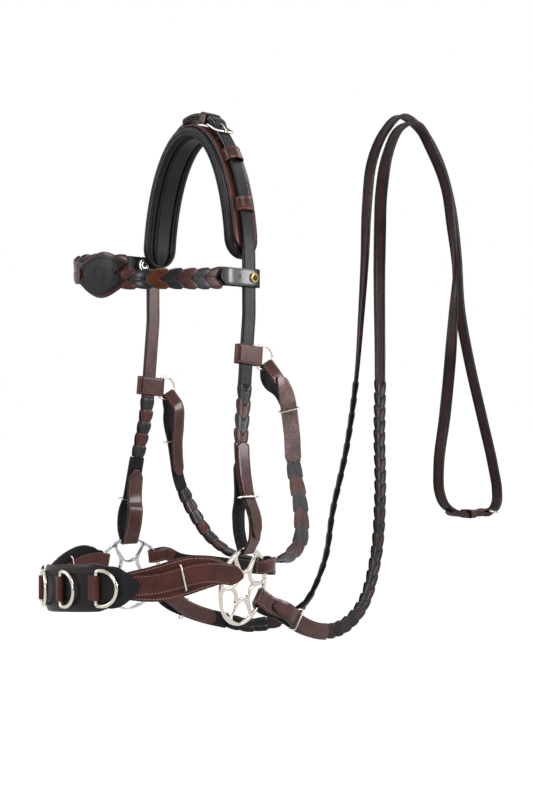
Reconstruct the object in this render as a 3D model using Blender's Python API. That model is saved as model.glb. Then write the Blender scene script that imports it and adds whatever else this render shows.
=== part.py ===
"""Hackamore bridle with plaited cheeks, jaw strap and reins, folded adjusters and two pierced wheels.

Metres, +Z up. The horse's nose is towards -Y and its near (left) side towards +X.
The origin is the underside of the padded headpiece, where it rests on the poll.
The bridle hangs as it does on a stand, with the reins draped over a second peg behind it.
"""

import math

import bmesh
import bpy
from mathutils import Matrix, Vector
from mathutils.geometry import convex_hull_2d

UP = Vector((0.0, 0.0, 1.0))
NEAR, FAR = 1, -1

# Clearances between neighbours, and between a loop and what it holds
SEAT_GAP = 0.0003
LOOP_GAP = 0.0006

# Leather
LAYER = 0.0026
STRAP_STATION = 0.025
REIN_STATION = 0.040
BEND_PER_STATION = 13.0
CHEEK_WIDTH = 0.018
CHEEK_THICKNESS = 0.0044
HANGER_WIDTH = 0.0215
BILLET_INSET = 0.0022

# Headpiece arch: an ellipse on the inside of the pad
ARCH_HALF_WIDTH = 0.0700
ARCH_HEIGHT = 0.1600
PAD_WIDTH = 0.046
PAD_THICKNESS = 0.0135
FACING_WIDTH = 0.036
FACING_THICKNESS = 0.0028
CROWN_LIFT = 0.0045
KEEPER_WALL = 0.0022
PAD_KEEPER_HEIGHT = 0.0170
PAD_KEEPER_ANGLES = (26.0, 51.0)

# Crown buckle
CROWN_HEEL_X = 0.0310
CROWN_BUCKLE_LENGTH = 0.0180
CROWN_BUCKLE_WIDTH = 0.0285
CROWN_WIRE = 0.0014
BUCKLE_TONGUE = 0.0010
BILLET_END = 0.048
TIP_LENGTH = 0.014
CHAPE_STATIONS = (0.042, 0.036, 0.024, 0.012)
LEAST_STEP = 0.00012
PAD_ENDS = (4.6, 175.4)
POLL_FLAT = 1.2
FACING_ENDS = (7.5, 164.5)

# Levels of the two cheeks, from the pads down to the wheels
STRAP_BEND_LEVEL = -0.215
JAW_KEEPER_LEVEL = {NEAR: -0.2600, FAR: -0.2945}
PLAIT_TOP_LEVEL = {NEAR: -0.2936, FAR: -0.3090}
PLAIT_END_LEVEL = {NEAR: -0.3610, FAR: -0.3830}
PLAIT_TOP_OFFSET = (0.0010, -0.0075)
PLAIT_END_OFFSET = (0.0065, -0.0185)
CHEEK_PLAIT_UNITS = {NEAR: 4, FAR: 5}
CHEEK_PLAIT_WIDTH = 0.0195
CHEEK_PLAIT_THICKNESS = 0.0068
PLAIT_NOTCH = 0.30
PLAIT_THROAT = 0.72
PLAIT_SWELL = 0.90

# Wheels
WHEEL_CENTRE = {NEAR: (0.1060, -0.0242, -0.5226), FAR: (-0.1060, -0.0245, -0.5277)}
WHEEL_TOE = {NEAR: 13.0, FAR: 7.0}
WHEEL_LEAN = {NEAR: 6.0, FAR: 0.0}
WHEEL_RADIUS = 0.0450
WHEEL_THICKNESS = 0.0040
WHEEL_EDGE = 0.0010
RIM_WIDTH = 0.0045
PETALS = 6
WHEEL_PLAY = 0.0002
PETAL_CENTRE = 0.0300
PETAL_RADIUS = 0.0125
PETAL_CORNER = 0.0040
PETAL_CORNER_ANGLE = 21.5
FOLD_ROUND = 0.0041
WEB = 0.0027
CUSP_EASE = 2.5
SLOT_RUN = 0.014

# Jaw-ring keepers and D-rings
JAW_KEEPER_HEIGHT = 0.0225
JAW_KEEPER_FRONT = 0.0160
RING_WIRE = 0.0014
JAW_RING_RADIUS = 0.0135
JAW_RING_STRAIGHT = 0.0095
JAW_HANGER_WIDTH = 0.0170
JAW_FOLD_ROUND = 0.0034
JAW_RING_BAR_BACK = 0.0185
JAW_HANG_ANGLE = 58.0
JAW_KEEPER_PLAY = 0.0008
JAW_PATH = {
    NEAR: [(0.0930, 0.0520, -0.3050), (0.0940, 0.0640, -0.3450), (0.0940, 0.0680, -0.3900),
           (0.0900, 0.0835, -0.4450), (0.0800, 0.0920, -0.4810), (0.0500, 0.0960, -0.5060)],
    FAR: [(0.0920, 0.0350, -0.3400), (0.0930, 0.0390, -0.3750), (0.0930, 0.0470, -0.4150),
          (0.0890, 0.0680, -0.4580), (0.0750, 0.0850, -0.4900), (0.0500, 0.0930, -0.5060)],
}
JAW_BOTTOM = (0.0950, -0.5110)
JAW_CENTRE_HALF = 0.0420
JAW_ADJUSTER_LENGTH = 0.120
JAW_BULGE = 0.0095
JAW_REACH = 0.022

# Folded adjusters
FOLD_BULGE = 0.0105
FOLD_REACH = 0.026
BUCKLE_WIRE = 0.0011
BUCKLE_OVERHANG = 0.0035
BUCKLE_SHARE = 0.48
RETURN_SHARE = 0.85
RETURN_TIP = 0.004
RETURN_TAPER = (0.93, 0.62)
FOLD_STATION = 0.018
WAIST_RUN = 0.020
WAIST_SWELL = 0.70

# Browband
BROW_DEPTH = 0.151
BROW_SQUARENESS = 3.2
BROW_BELOW_ARCH = 0.0115
BROW_LEVEL = -(ARCH_HEIGHT + BROW_BELOW_ARCH)
BROW_FAR_RISE = 0.026
BROW_STRAP = 0.0215
BROW_PLAIT_WIDTH = 0.0255
BROW_PLAIT_THICKNESS = 0.0066
BROW_PLAIT_UNITS = 7
BROW_ANGLES = (1, 5, 14, 27, 42, 58, 74, 90, 106, 122, 138, 153, 166, 175, 179)
MEDALLION_CENTRE_X = 0.007
MEDALLION_LENGTH = 0.0720
MEDALLION_HEIGHT = 0.0520
MEDALLION_ENDS = 0.0240
MEDALLION_THICKNESS = 0.0060
TAB_FRONT = -0.0400
TAB_BACK = {NEAR: 0.0150, FAR: 0.0150}
TAB_PLAY = {NEAR: 0.0005, FAR: 0.0008}
TAB_SHIFT = {NEAR: 0.0, FAR: 0.0004}
TAB_INNER_WALL = 0.0016
TAIL_THICKNESS = 0.0050
STUD_OFFSET = {NEAR: 0.0010, FAR: -0.0200}
STUD_RADIUS = 0.0058
STUD_HEIGHT = 0.0056

# Noseband
NOSE_HALF_WIDTH = 0.1120
NOSE_DEPTH = 0.1600
NOSE_BACK = -0.030
NOSE_SQUARENESS = 2.5
NOSE_LEVEL = -0.5200
NOSE_TILT = 0.10
NOSE_FAR_LIFT = 0.016
NOSE_LIFT_FROM = 0.040
NOSE_ANGLES = (40, 56, 74, 90, 106, 124, 140)
NOSE_SLOT_ANGLE = 64
NOSE_SLOT_SKEW = 16
NOSE_TUCK = 9
NOSE_FOLD_DEPTH = 0.0093
NOSE_FOLD_HALF = 0.0039
NOSE_NECK_WIDTH = 0.0180
NOSE_WING_WIDTH = 0.0420
NOSE_WING_END = 0.0280
NOSE_BILLET_WIDTH = 0.0235
NOSE_BILLET_TIP = -0.0200
NOSE_BUCKLE_SHARE = 0.465
NOSE_STATION = 0.0100
NOSE_TWIST = 0.060
NOSE_PAD_REACH = 0.0790
NOSE_PAD_HEIGHT = 0.0520
NOSE_PAD_THICKNESS = 0.0110
NOSE_RING_WIRE = 0.0019
NOSE_RING_RADIUS = 0.0190
NOSE_RING_STRAIGHT = 0.0060
NOSE_RING_PLACES = {"near": 0.050, "centre": -0.002, "far": -0.050}
NOSE_KEEPER_HEIGHT = 0.0270
NOSE_KEEPER_WALL = 0.0016
NOSE_KEEPER_LIFT = 0.0004

# Curb strap
CURB_WIDTH = 0.0160
CURB_SLOT_ANGLE = -63
CURB_SLOT_SKEW = -20
CURB_PATH = (
    (NEAR, 0.0880, 0.0400, -0.5080), (NEAR, 0.0500, 0.0580, -0.5140), (NEAR, 0.0, 0.0600, -0.5160),
    (FAR, 0.0500, 0.0580, -0.5160), (FAR, 0.0880, 0.0400, -0.5140),
)
CURB_RETURN = 0.028
CURB_BULGE = 0.0052

# Jaw strap and reins
JAW_PLAIT_WIDTH = 0.0185
JAW_PLAIT_THICKNESS = 0.0066
JAW_PLAIT_UNITS = 7
REIN_WIDTH = 0.0165
REIN_THICKNESS = 0.0036
REIN_HANGER_WIDTH = 0.0200
REIN_ADJUSTER_LENGTH = 0.128
REIN_PLAIT_WIDTH = 0.0175
REIN_PLAIT_THICKNESS = 0.0070
REIN_PLAIT_UNITS = {NEAR: 23, FAR: 21}
REIN_PLAIT_END = {NEAR: -0.2851, FAR: -0.2862}
REIN_BUCKLE_WIDTH = 0.0250
REIN_BUCKLE_LENGTH = 0.0180
REIN_HEEL_Y = 0.5530
REIN_WIRE = 0.0013
REIN_BILLET_END = 0.076
REIN_SLOT = {NEAR: (-117, -9), FAR: (-120, 0)}
REIN_TWIST = {NEAR: 0.0, FAR: 47.0}
REIN_LOW = {
    NEAR: [(0.0970, 0.0480, -0.5600), (0.0955, 0.0800, -0.5800), (0.0890, 0.1250, -0.5935),
           (0.0810, 0.1720, -0.5905), (0.0720, 0.2120, -0.5700), (0.0620, 0.2440, -0.5230),
           (0.0480, 0.2700, -0.4300), (0.0330, 0.2850, -0.3600)],
    FAR: [(0.1040, 0.0500, -0.5740), (0.0990, 0.0850, -0.5900), (0.0920, 0.1250, -0.6020),
          (0.0850, 0.1600, -0.6110), (0.0780, 0.1960, -0.6100), (0.0670, 0.2367, -0.5950),
          (0.0520, 0.2649, -0.5384), (0.0400, 0.2720, -0.4616), (0.0280, 0.2851, -0.3814)],
}
REIN_HIGH = {
    NEAR: [(0.0180, 0.3030, -0.2851), (0.0135, 0.3076, -0.0959), (0.0125, 0.3127, -0.0251),
           (0.0120, 0.3258, 0.0239), (0.0120, 0.3500, 0.0610), (0.0120, 0.3800, 0.0720),
           (0.0120, 0.4200, 0.0360), (0.0120, 0.4500, -0.0119), (0.0120, 0.4601, -0.0600),
           (0.0120, 0.4679, -0.1200), (0.0110, 0.4668, -0.1832), (0.0100, 0.4601, -0.2592),
           (0.0080, 0.4512, -0.3348), (0.0040, 0.4423, -0.4085), (0.0010, 0.4480, -0.4440)],
    FAR: [(0.0180, 0.2943, -0.2862), (0.0135, 0.3000, -0.1950), (0.0125, 0.3058, -0.1200),
          (0.0120, 0.3098, -0.0458), (0.0120, 0.3200, 0.0150), (0.0120, 0.3460, 0.0600),
          (0.0120, 0.3800, 0.0860), (0.0120, 0.4150, 0.0760), (0.0120, 0.4560, 0.0380),
          (0.0120, 0.4850, -0.0200), (0.0120, 0.5010, -0.0927), (0.0120, 0.5102, -0.1800),
          (0.0100, 0.5300, -0.2574), (0.0070, 0.5549, -0.3358), (0.0030, 0.5780, -0.4142),
          (0.0010, 0.5840, -0.4480), (0.0, 0.5815, -0.4660)],
}
REIN_TURN = [(0.0, 0.5745, -0.4745), (0.0, 0.5660, -0.4760), (0.0, 0.5560, -0.4760), (0.0, 0.5460, -0.4760),
             (0.0, 0.5250, -0.4760), (0.0, 0.5000, -0.4755), (0.0, 0.4780, -0.4720), (0.0, 0.4590, -0.4610)]

# The pieces that move together
JAW_STRAP_PIECES = [f"jaw_{label}_{part}" for label in ("near", "far") for part in ("adjuster", "buckle")]
JAW_STRAP_PIECES += ["jaw_plait_near", "jaw_plait_far", "jaw_strap_centre"]
BROWBAND_PIECES = [f"brow_{part}_{label}" for part in ("plait", "tab", "stud") for label in ("near", "far")]
BROWBAND_PIECES.append("brow_medallion")

BROWN = (0.075, 0.022, 0.018)
BLACK = (0.020, 0.020, 0.022)
NICKEL = (0.78, 0.76, 0.72)
BRASS = (0.62, 0.45, 0.18)


def clear_scene():
    for obj in list(bpy.data.objects):
        bpy.data.objects.remove(obj, do_unlink=True)


def material(name, colour, roughness, metallic):
    found = bpy.data.materials.get(name)
    if found:
        return found
    made = bpy.data.materials.new(name)
    made.use_nodes = True
    shader = made.node_tree.nodes["Principled BSDF"]
    shader.inputs["Base Color"].default_value = (*colour, 1.0)
    shader.inputs["Roughness"].default_value = roughness
    shader.inputs["Metallic"].default_value = metallic
    made.diffuse_color = (*colour, 1.0)
    return made


def brown():
    return material("brown_bridle_leather", BROWN, 0.45, 0.0)


def black():
    return material("black_bridle_leather", BLACK, 0.5, 0.0)


def nickel():
    return material("polished_nickel", NICKEL, 0.15, 1.0)


def brass():
    return material("polished_brass", BRASS, 0.2, 1.0)


def collection(name, hidden=False):
    made = bpy.data.collections.new(name)
    made.hide_render = hidden
    bpy.context.scene.collection.children.link(made)
    return made


clear_scene()
PARTS = collection("hackamore_bridle")
CUTTERS = collection("cutters", hidden=True)
OUTWARDS = {NEAR: Vector((1.0, 0.0, 0.0)), FAR: Vector((-1.0, 0.0, 0.0))}


# Curves in space

def smooth_line(points, per_span=8, spans=None):
    """A smooth curve through the points, as a list of points. It bends least where they lie close."""
    spans = spans or [max(1e-6, (b - a).length) for a, b in zip(points, points[1:])]
    slopes = [(b - a) / span for a, b, span in zip(points, points[1:], spans)]
    tangents = [slopes[0]]
    for i in range(1, len(slopes)):
        before, after = spans[i - 1], spans[i]
        tangents.append((slopes[i - 1] * after + slopes[i] * before) / (before + after))
    tangents.append(slopes[-1])
    line = []
    for i, span in enumerate(spans):
        for step in range(per_span):
            t = step / per_span
            line.append(
                points[i] * (1 - 3 * t**2 + 2 * t**3) + points[i + 1] * (3 * t**2 - 2 * t**3)
                + tangents[i] * (span * (t - 2 * t**2 + t**3)) + tangents[i + 1] * (span * (t**3 - t**2))
            )
    line.append(points[-1].copy())
    return line


class Route:
    """A smooth path through (point, across) pairs. Its outward direction is tangent x across."""

    def __init__(self, stops, per_span=8):
        points = [Vector(point) for point, _ in stops]
        spans = [(b - a).length for a, b in zip(points, points[1:])]
        self.line = smooth_line(points, per_span, spans)
        self.across = smooth_line([Vector(across).normalized() for _, across in stops], per_span, spans)
        self.reach = [0.0]
        for a, b in zip(self.line, self.line[1:]):
            self.reach.append(self.reach[-1] + (b - a).length)
        self.length = self.reach[-1]

    def place(self, values, s):
        """A value at the distance s, straight on past either end."""
        i = next((i for i, reach in enumerate(self.reach) if reach >= s), len(self.reach) - 1)
        i = max(i, 1)
        share = (s - self.reach[i - 1]) / (self.reach[i] - self.reach[i - 1])
        return values[i - 1] + (values[i] - values[i - 1]) * share

    def point(self, s):
        return self.place(self.line, s)

    def frame(self, s):
        """Point, tangent, across and outward directions at the distance s."""
        step = 0.001
        tangent = (self.point(s + step) - self.point(s - step)).normalized()
        across = self.place(self.across, min(self.length, max(0.0, s)))
        across = (across - tangent * across.dot(tangent)).normalized()
        return self.point(s), tangent, across, tangent.cross(across)

    def reaches(self, value, axis, back=False):
        """The first distance, or from the far end the last, at which a coordinate passes the value."""
        order = range(len(self.line) - 1)
        for i in reversed(order) if back else order:
            a, b = self.line[i][axis], self.line[i + 1][axis]
            if min(a, b) <= value <= max(a, b) and a != b:
                return self.reach[i] + (self.reach[i + 1] - self.reach[i]) * (value - a) / (b - a)
        raise ValueError(f"the path never passes {value}")


def facing(points, out):
    """Stops through the points, with the across directions that turn the face outwards."""
    points = [Vector(point) for point in points]
    stops = []
    for i, point in enumerate(points):
        tangent = (points[min(i + 1, len(points) - 1)] - points[max(i - 1, 0)]).normalized()
        stops.append((point, out.cross(tangent).normalized()))
    return stops


def spread(first, last, step):
    """Distances from the first to the last, about a step apart."""
    count = max(1, math.ceil(abs(last - first) / step))
    return [first + (last - first) * i / count for i in range(count + 1)]


def stations(route, first, last, step):
    """Distances at most a step apart, and closer where the route bends or twists."""
    kept = [first]
    _, tangent, across, _ = route.frame(first)
    for s in spread(first, last, 0.002)[1:-1]:
        _, way, side, _ = route.frame(s)
        turned = max(way.angle(tangent), side.angle(across))
        if abs(s - kept[-1]) > step or turned > math.radians(BEND_PER_STATION):
            kept.append(s)
            tangent, across = way, side
    return [*kept, last]


def reversed_stops(stops):
    """The same path walked the other way, with the same outward side."""
    return [(point, -Vector(across)) for point, across in reversed(stops)]


# Meshes

def finish(obj, finish_material, smooth=False):
    obj.data.materials.append(finish_material)
    for owner in obj.users_collection:
        owner.objects.unlink(obj)
    PARTS.objects.link(obj)
    if smooth:
        obj.data.shade_smooth()
        obj.data.set_sharp_from_angle(angle=math.radians(40))
    return obj


def loft(name, rings, finish_material, closed=False, returning=()):
    """A skin over rings of equally many points, capped at both ends unless it closes on itself.

    The spans that return beside others are split along the same diagonals as those, so that twisted
    layers lie parallel.
    """
    mesh = bmesh.new()
    loops = [[mesh.verts.new(p) for p in ring] for ring in rings]
    count = len(rings[0])
    following = loops[1:] + (loops[:1] if closed else [])
    for span, (first, second) in enumerate(zip(loops, following)):
        for i in range(count):
            j = (i + 1) % count
            corners = (first[i], first[j], second[j], second[i])
            mesh.faces.new(corners[1:] + corners[:1] if span in returning else corners)
    if not closed:
        mesh.faces.new(loops[0])
        mesh.faces.new(loops[-1])
    bmesh.ops.recalc_face_normals(mesh, faces=mesh.faces)
    data = bpy.data.meshes.new(name)
    mesh.to_mesh(data)
    mesh.free()
    obj = bpy.data.objects.new(name, data)
    bpy.context.scene.collection.objects.link(obj)
    return finish(obj, finish_material, smooth=True)


def wire(name, points, radius, finish_material, cyclic=True, sides_step=1):
    """A round wire through the points."""
    data = bpy.data.curves.new(name, "CURVE")
    data.dimensions = "3D"
    data.bevel_depth = radius
    data.bevel_resolution = sides_step
    data.use_fill_caps = True
    spline = data.splines.new("POLY")
    spline.points.add(len(points) - 1)
    for place, p in zip(spline.points, points):
        place.co = (*p, 1.0)
    spline.use_cyclic_u = cyclic
    obj = bpy.data.objects.new(name, data)
    bpy.context.scene.collection.objects.link(obj)
    return finish(obj, finish_material)


def plate(name, outlines, thickness, finish_material, place, right, up, edge=0.0):
    """A flat piece cut to its outlines, the first its outside, centred on its thickness at the place."""
    data = bpy.data.curves.new(name, "CURVE")
    data.dimensions = "2D"
    data.fill_mode = "BOTH"
    data.extrude = thickness / 2 - edge
    data.bevel_depth = edge
    data.bevel_resolution = 0
    data.offset = -edge
    for outline in outlines:
        spline = data.splines.new("POLY")
        spline.points.add(len(outline) - 1)
        for corner, (x, y) in zip(spline.points, outline):
            corner.co = (x, y, 0.0, 1.0)
        spline.use_cyclic_u = True
    obj = bpy.data.objects.new(name, data)
    bpy.context.scene.collection.objects.link(obj)
    right = Vector(right).normalized()
    up = Vector(up).normalized()
    out = right.cross(up)
    turn = obj.matrix_world.to_3x3()
    turn.col[0], turn.col[1], turn.col[2] = right, up, out
    obj.matrix_world = turn.to_4x4()
    obj.location = place
    return finish(obj, finish_material)


def arc(centre, radius, start, end, steps):
    """Points of an arc in a plane, by its start and end angles in degrees."""
    return [
        (
            centre[0] + radius * math.cos(math.radians(start + (end - start) * i / steps)),
            centre[1] + radius * math.sin(math.radians(start + (end - start) * i / steps)),
        )
        for i in range(steps + 1)
    ]


def rounded_box(left, bottom, right, top, corner, steps=2):
    """The outline of a box with rounded corners, anticlockwise."""
    outline = []
    for x, y, start in (
        (right - corner, bottom + corner, -90),
        (right - corner, top - corner, 0),
        (left + corner, top - corner, 90),
        (left + corner, bottom + corner, 180),
    ):
        outline += arc((x, y), corner, start, start + 90, steps)
    return outline


def section(point, across, up, width, thickness):
    """An eight-sided strap section with eased edges."""
    ease = min(0.0007, thickness * 0.3)
    w, t = width / 2, thickness / 2
    corners = (
        (-w, -t + ease), (-w + ease, -t), (w - ease, -t), (w, -t + ease),
        (w, t - ease), (w - ease, t), (-w + ease, t), (-w, t - ease),
    )
    return [point + across * c + up * h for c, h in corners]


def path_frames(route, path):
    """Point, across and outer-face direction at each (distance, height) of a path beside the route."""
    spots = [Vector(spot[:2]) for spot in path]
    frames = []
    for i, spot in enumerate(spots):
        along = (spots[min(i + 1, len(spots) - 1)] - spots[max(i - 1, 0)]).normalized()
        point, tangent, across, out = route.frame(spot.x)
        frames.append((point + out * spot.y, across, out * along.x - tangent * along.y))
    return frames


def returning_spans(path):
    """The numbers of the spans that run back along the route."""
    return {i for i, (a, b) in enumerate(zip(path, path[1:])) if b[0] < a[0]}


def strap(name, route, path, finish_material):
    """A strap along a route, through stations of (distance, height, width, thickness)."""
    rings = []
    for (point, across, up), (_, _, width, thickness) in zip(path_frames(route, path), path):
        rings.append(section(point, across, up, width, thickness))
    return loft(name, rings, finish_material, returning=returning_spans(path))


# Plaits

def plait(name, route, start, end, units, width, thickness, finish_material, lead=1):
    """Laced leaves: each swells from a narrow throat to a broad end, notched like a swallow's tail."""
    pitch = (end - start) / units
    notch = PLAIT_NOTCH * width * lead
    outline = [
        (-0.5, 0.0), (-0.27, -0.42), (0.0, -0.5), (0.27, -0.42),
        (0.5, 0.0), (0.27, 0.42), (0.0, 0.5), (-0.27, 0.42),
    ]
    places = []
    for unit in range(units):
        first = start + unit * pitch
        if lead > 0:
            places += [(first, PLAIT_THROAT), (first + PLAIT_SWELL * pitch, 1.0)]
        else:
            places += [(first, 1.0), (first + PLAIT_SWELL * pitch, PLAIT_THROAT)]
    places.append((end, PLAIT_THROAT if lead > 0 else 1.0))
    rings = []
    for s, size in places:
        fade = max(0.0, min(1.0, (s - start) / pitch, (end - s) / pitch))
        ring = []
        for c, h in outline:
            point, _, across, up = route.frame(s - notch * fade * (1 - 2 * abs(c)))
            ring.append(point + across * (c * width * size) + up * (h * thickness * (0.45 + 0.55 * size)))
        rings.append(ring)
    return loft(name, rings, finish_material)


# Folded adjusters

def fold_turn(seat, rounding):
    """The round bottom of a fold that hugs a bar or rim, whose inner face is the seat away."""
    bottom = -(seat + SEAT_GAP + LAYER / 2)
    eased = rounding * (1 - math.sqrt(0.5))
    side = rounding * math.sqrt(0.5)
    return [
        Vector((bottom + rounding, rounding)), Vector((bottom + eased, side)), Vector((bottom, 0.0)),
        Vector((bottom + eased, -side)), Vector((bottom + rounding, -rounding)),
    ]


def fold_path(length, seat, back, bulge, reach, rounding):
    """A strap's middle line: in along the outer side, round the fold at the start, back on the inner side.

    The two sides part at the waist, where the wire buckle passes between them. Both sides have the same
    stations, so that their facets lie parallel along the narrow gap.
    """
    rest = LAYER / 2 + SEAT_GAP / 2
    waist = BUCKLE_SHARE * length
    apart = BUCKLE_WIRE + 2 * SEAT_GAP + LAYER / 2
    beside = spread(back, waist + WAIST_RUN, FOLD_STATION)[1:]
    straight = [(s, rest) for s in (length, back, back - RETURN_TIP, *beside)]
    down = [
        *straight, (waist, apart), ((waist + reach) / 2, apart + WAIST_SWELL * (bulge - apart)),
        (reach, bulge), (0.42 * reach, 0.90 * bulge),
    ]
    turn = fold_turn(seat, rounding)
    up = [(s, -h) for s, h in reversed(down) if s <= back]
    free = len(straight) - 1
    curve = smooth_line([Vector(spot) for spot in [*down[free:], *turn, *up[:len(down) - free]]], per_span=2)
    return [Vector(spot) for spot in down[:free]] + curve + [Vector(spot) for spot in up[len(down) - free:]]


def hanger(name, route, path, width, tip, finish_material, widths=None):
    """A folded strap along its path. A pointed billet lies on its outer face, down to the tip."""
    rings = []
    lowest = min(range(len(path)), key=lambda i: path[i].x)
    for i, (point, across, up) in enumerate(path_frames(route, [tuple(spot) for spot in path])):
        s = path[i].x
        w, t = width / 2, LAYER / 2
        if widths and i <= lowest:
            w = widths(s) / 2
        if i > len(path) - 3:
            w *= RETURN_TAPER[i - len(path) + 2]
        o, rise = w - BILLET_INSET, LEAST_STEP
        if tip is not None and i < lowest and s > tip:
            o *= min(1.0, (s - tip + LEAST_STEP) / TIP_LENGTH + 0.1)
            rise = LAYER
        ring = [(-w, t), (-w, -t), (w, -t), (w, t), (o, t), (o, t + rise), (-o, t + rise), (-o, t)]
        rings.append([point - across * c - up * h for c, h in ring])
    return loft(name, rings, finish_material, returning=returning_spans(path))


def wire_buckle(name, route, place, width, low, high):
    """A wire buckle: one rounded loop round the strap's layers, from its inner to its outer side."""
    point, _, across, out = route.frame(place)
    clear = BUCKLE_WIRE + SEAT_GAP
    half = width / 2 + BUCKLE_OVERHANG
    outline = rounded_box(-half, low - clear, half, high + clear, 0.0025)
    return wire(name, [point + across * c + out * h for c, h in outline], BUCKLE_WIRE, nickel())


def adjuster(label, route, length, width, seat, bulge, reach, rounding):
    """A folded strap with its wire buckle."""
    path = fold_path(length, seat, RETURN_SHARE * length, bulge, reach, rounding)
    hanger(f"{label}_adjuster", route, path, width, 0.45 * reach, brown())
    low = BUCKLE_WIRE + SEAT_GAP
    wire_buckle(f"{label}_buckle", route, BUCKLE_SHARE * length, width, low, low + 2 * (LAYER + SEAT_GAP))


# Buckles with a heel bar

def chape_layer(thickness):
    """How thick each half of a strap is where it is split to fold round a heel bar."""
    return (thickness - SEAT_GAP) / 2


def billet_heights(heel, length, wire_radius, thickness):
    """The height of the strap that passes under a buckle's front bar and over its heel bar, by distance."""
    over = wire_radius + chape_layer(thickness) + thickness / 2 + 2 * SEAT_GAP
    on = thickness + 2 * SEAT_GAP

    def height(s):
        rise = smooth_step((s - (heel - length + 2 * wire_radius + SEAT_GAP)) / (length - 3 * wire_radius))
        drop = smooth_step((s - heel - 0.006) / 0.010)
        return over * rise - (over - on) * drop

    return height


def chape_path(heel, wire_radius, width, thickness):
    """A strap's end split down to one layer, folded round the heel bar and back under itself."""
    split = chape_layer(thickness)
    layer = thickness / 2 - split / 2
    fold = wire_radius + SEAT_GAP + split / 2
    path = [(heel + far, layer, width, split) for far in CHAPE_STATIONS]
    path.append((heel + 0.005, fold * 0.9, width, split))
    for degrees in (75, 38, 0, -38, -75):
        turn = math.radians(degrees)
        path.append((heel - fold * math.cos(turn), fold * math.sin(turn), width, split))
    path.append((heel + 0.005, -fold * 0.9, width, split))
    for far in reversed(CHAPE_STATIONS[2:]):
        path.append((heel + far, -layer, width, split))
    path.append((heel + CHAPE_STATIONS[1], -layer, 0.95 * width, split))
    path.append((heel + CHAPE_STATIONS[0], -layer, 0.60 * width, split))
    return path


def pivot(name, place, pieces):
    """An empty on a joint's axis, the parent of the pieces that move about it."""
    empty = bpy.data.objects.new(name, None)
    empty.location = place
    empty.empty_display_size = 0.02
    PARTS.objects.link(empty)
    for piece in pieces:
        child = PARTS.objects[piece]
        child.parent = empty
        child.matrix_parent_inverse = Matrix.Translation(-Vector(place))


def box_cutter(name, route, first, last, centre, half, low, high):
    """A box along the route that cuts a slot or a hole."""
    rings = []
    for s in (first, last):
        point, _, across, out = route.frame(s)
        box = ((-half, low), (half, low), (half, high), (-half, high))
        rings.append([point + across * (centre + c) + out * h for c, h in box])
    cutter = loft(name, rings, brown())
    PARTS.objects.unlink(cutter)
    CUTTERS.objects.link(cutter)
    cutter.hide_render = True
    cutter.display_type = "WIRE"
    return cutter


def cut(obj, cutter):
    modifier = obj.modifiers.new(cutter.name, "BOOLEAN")
    modifier.operation = "DIFFERENCE"
    modifier.object = cutter


def buckled_straps(label, names, route, ends, heel, size, wire_radius, frame, billet_end, station, leather):
    """A billet strap that passes through a buckle, and the strap whose chape holds the buckle's heel bar."""
    first, last = ends
    width, thickness = size
    frame_width, length = frame
    height = billet_heights(heel, length, wire_radius, thickness)
    near_buckle = heel - length - 0.004
    end = heel + billet_end
    places = stations(route, first, near_buckle, station)[:-1] + spread(near_buckle, heel + 0.018, 0.0030)
    places += spread(heel + 0.018, end, 0.010)[1:]
    path = [(s, height(s), width, thickness) for s in places]
    for past, share in ((0.006, 0.85), (0.011, 0.25)):
        path.append((end + past, height(end), share * width, thickness))
    billet = strap(names[0], route, path, leather)
    path = [(s, 0.0, width, thickness) for s in stations(route, last, heel + 0.050, station)]
    chape = strap(names[1], route, path + chape_path(heel, wire_radius, width, thickness), leather)
    clear = wire_radius + 2 * BUCKLE_TONGUE + SEAT_GAP + LOOP_GAP
    half = BUCKLE_TONGUE + LOOP_GAP
    slot = box_cutter(f"{label}_slot", route, heel - 0.6 * length, heel + clear, 0.0, half,
                      -clear, 3 * thickness)
    cut(billet, slot)
    cut(chape, slot)
    heel_buckle(label, route, heel, length, frame_width / 2, wire_radius, thickness, height)


def heel_buckle(label, route, heel, length, half_width, wire_radius, thickness, height):
    """The frame, from its heel bar to the front bar over the strap, and the tongue through the strap."""
    front_height = thickness / 2 + SEAT_GAP + wire_radius
    corner = 2 * wire_radius
    points = []
    for c, r in rounded_box(-half_width, 0.0, half_width, length, corner):
        point, _, across, out = route.frame(heel - r)
        points.append(point + across * c + out * (front_height * r / length))
    wire(f"{label}_buckle", points, wire_radius, nickel())
    round_bar = wire_radius + SEAT_GAP + BUCKLE_TONGUE
    path = [(heel + round_bar * math.cos(a), round_bar * math.sin(a)) for a in (-1.2, -0.2, 0.8, 1.6)]
    rest = front_height + wire_radius + SEAT_GAP + BUCKLE_TONGUE
    for share in (0.55, 0.8):
        s = heel - share * length
        path.append((s, max(rest, height(s) + thickness / 2 + SEAT_GAP + BUCKLE_TONGUE)))
    path += [(heel - length, rest), (heel - length - 0.003, rest)]
    frames = [route.frame(s) for s, _ in path]
    points = [frame[0] + frame[3] * h for frame, (_, h) in zip(frames, path)]
    wire(f"{label}_tongue", smooth_line(points, 2), BUCKLE_TONGUE, nickel(), cyclic=False)
    pivot(f"{label}_tongue_pivot", route.point(heel), [f"{label}_tongue"])


# Headpiece

def arch_spot(angle, offset):
    """A point at the given height over the pad's inner face, the direction along the arch and outwards."""
    c, s = math.cos(math.radians(angle)), math.sin(math.radians(angle))
    out = Vector((ARCH_HEIGHT * c, 0.0, ARCH_HALF_WIDTH * s)).normalized()
    along = Vector((-out.z, 0.0, out.x))
    point = Vector((ARCH_HALF_WIDTH * c, 0.0, ARCH_HEIGHT * (s - 1)))
    return point + out * offset, along, out


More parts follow.
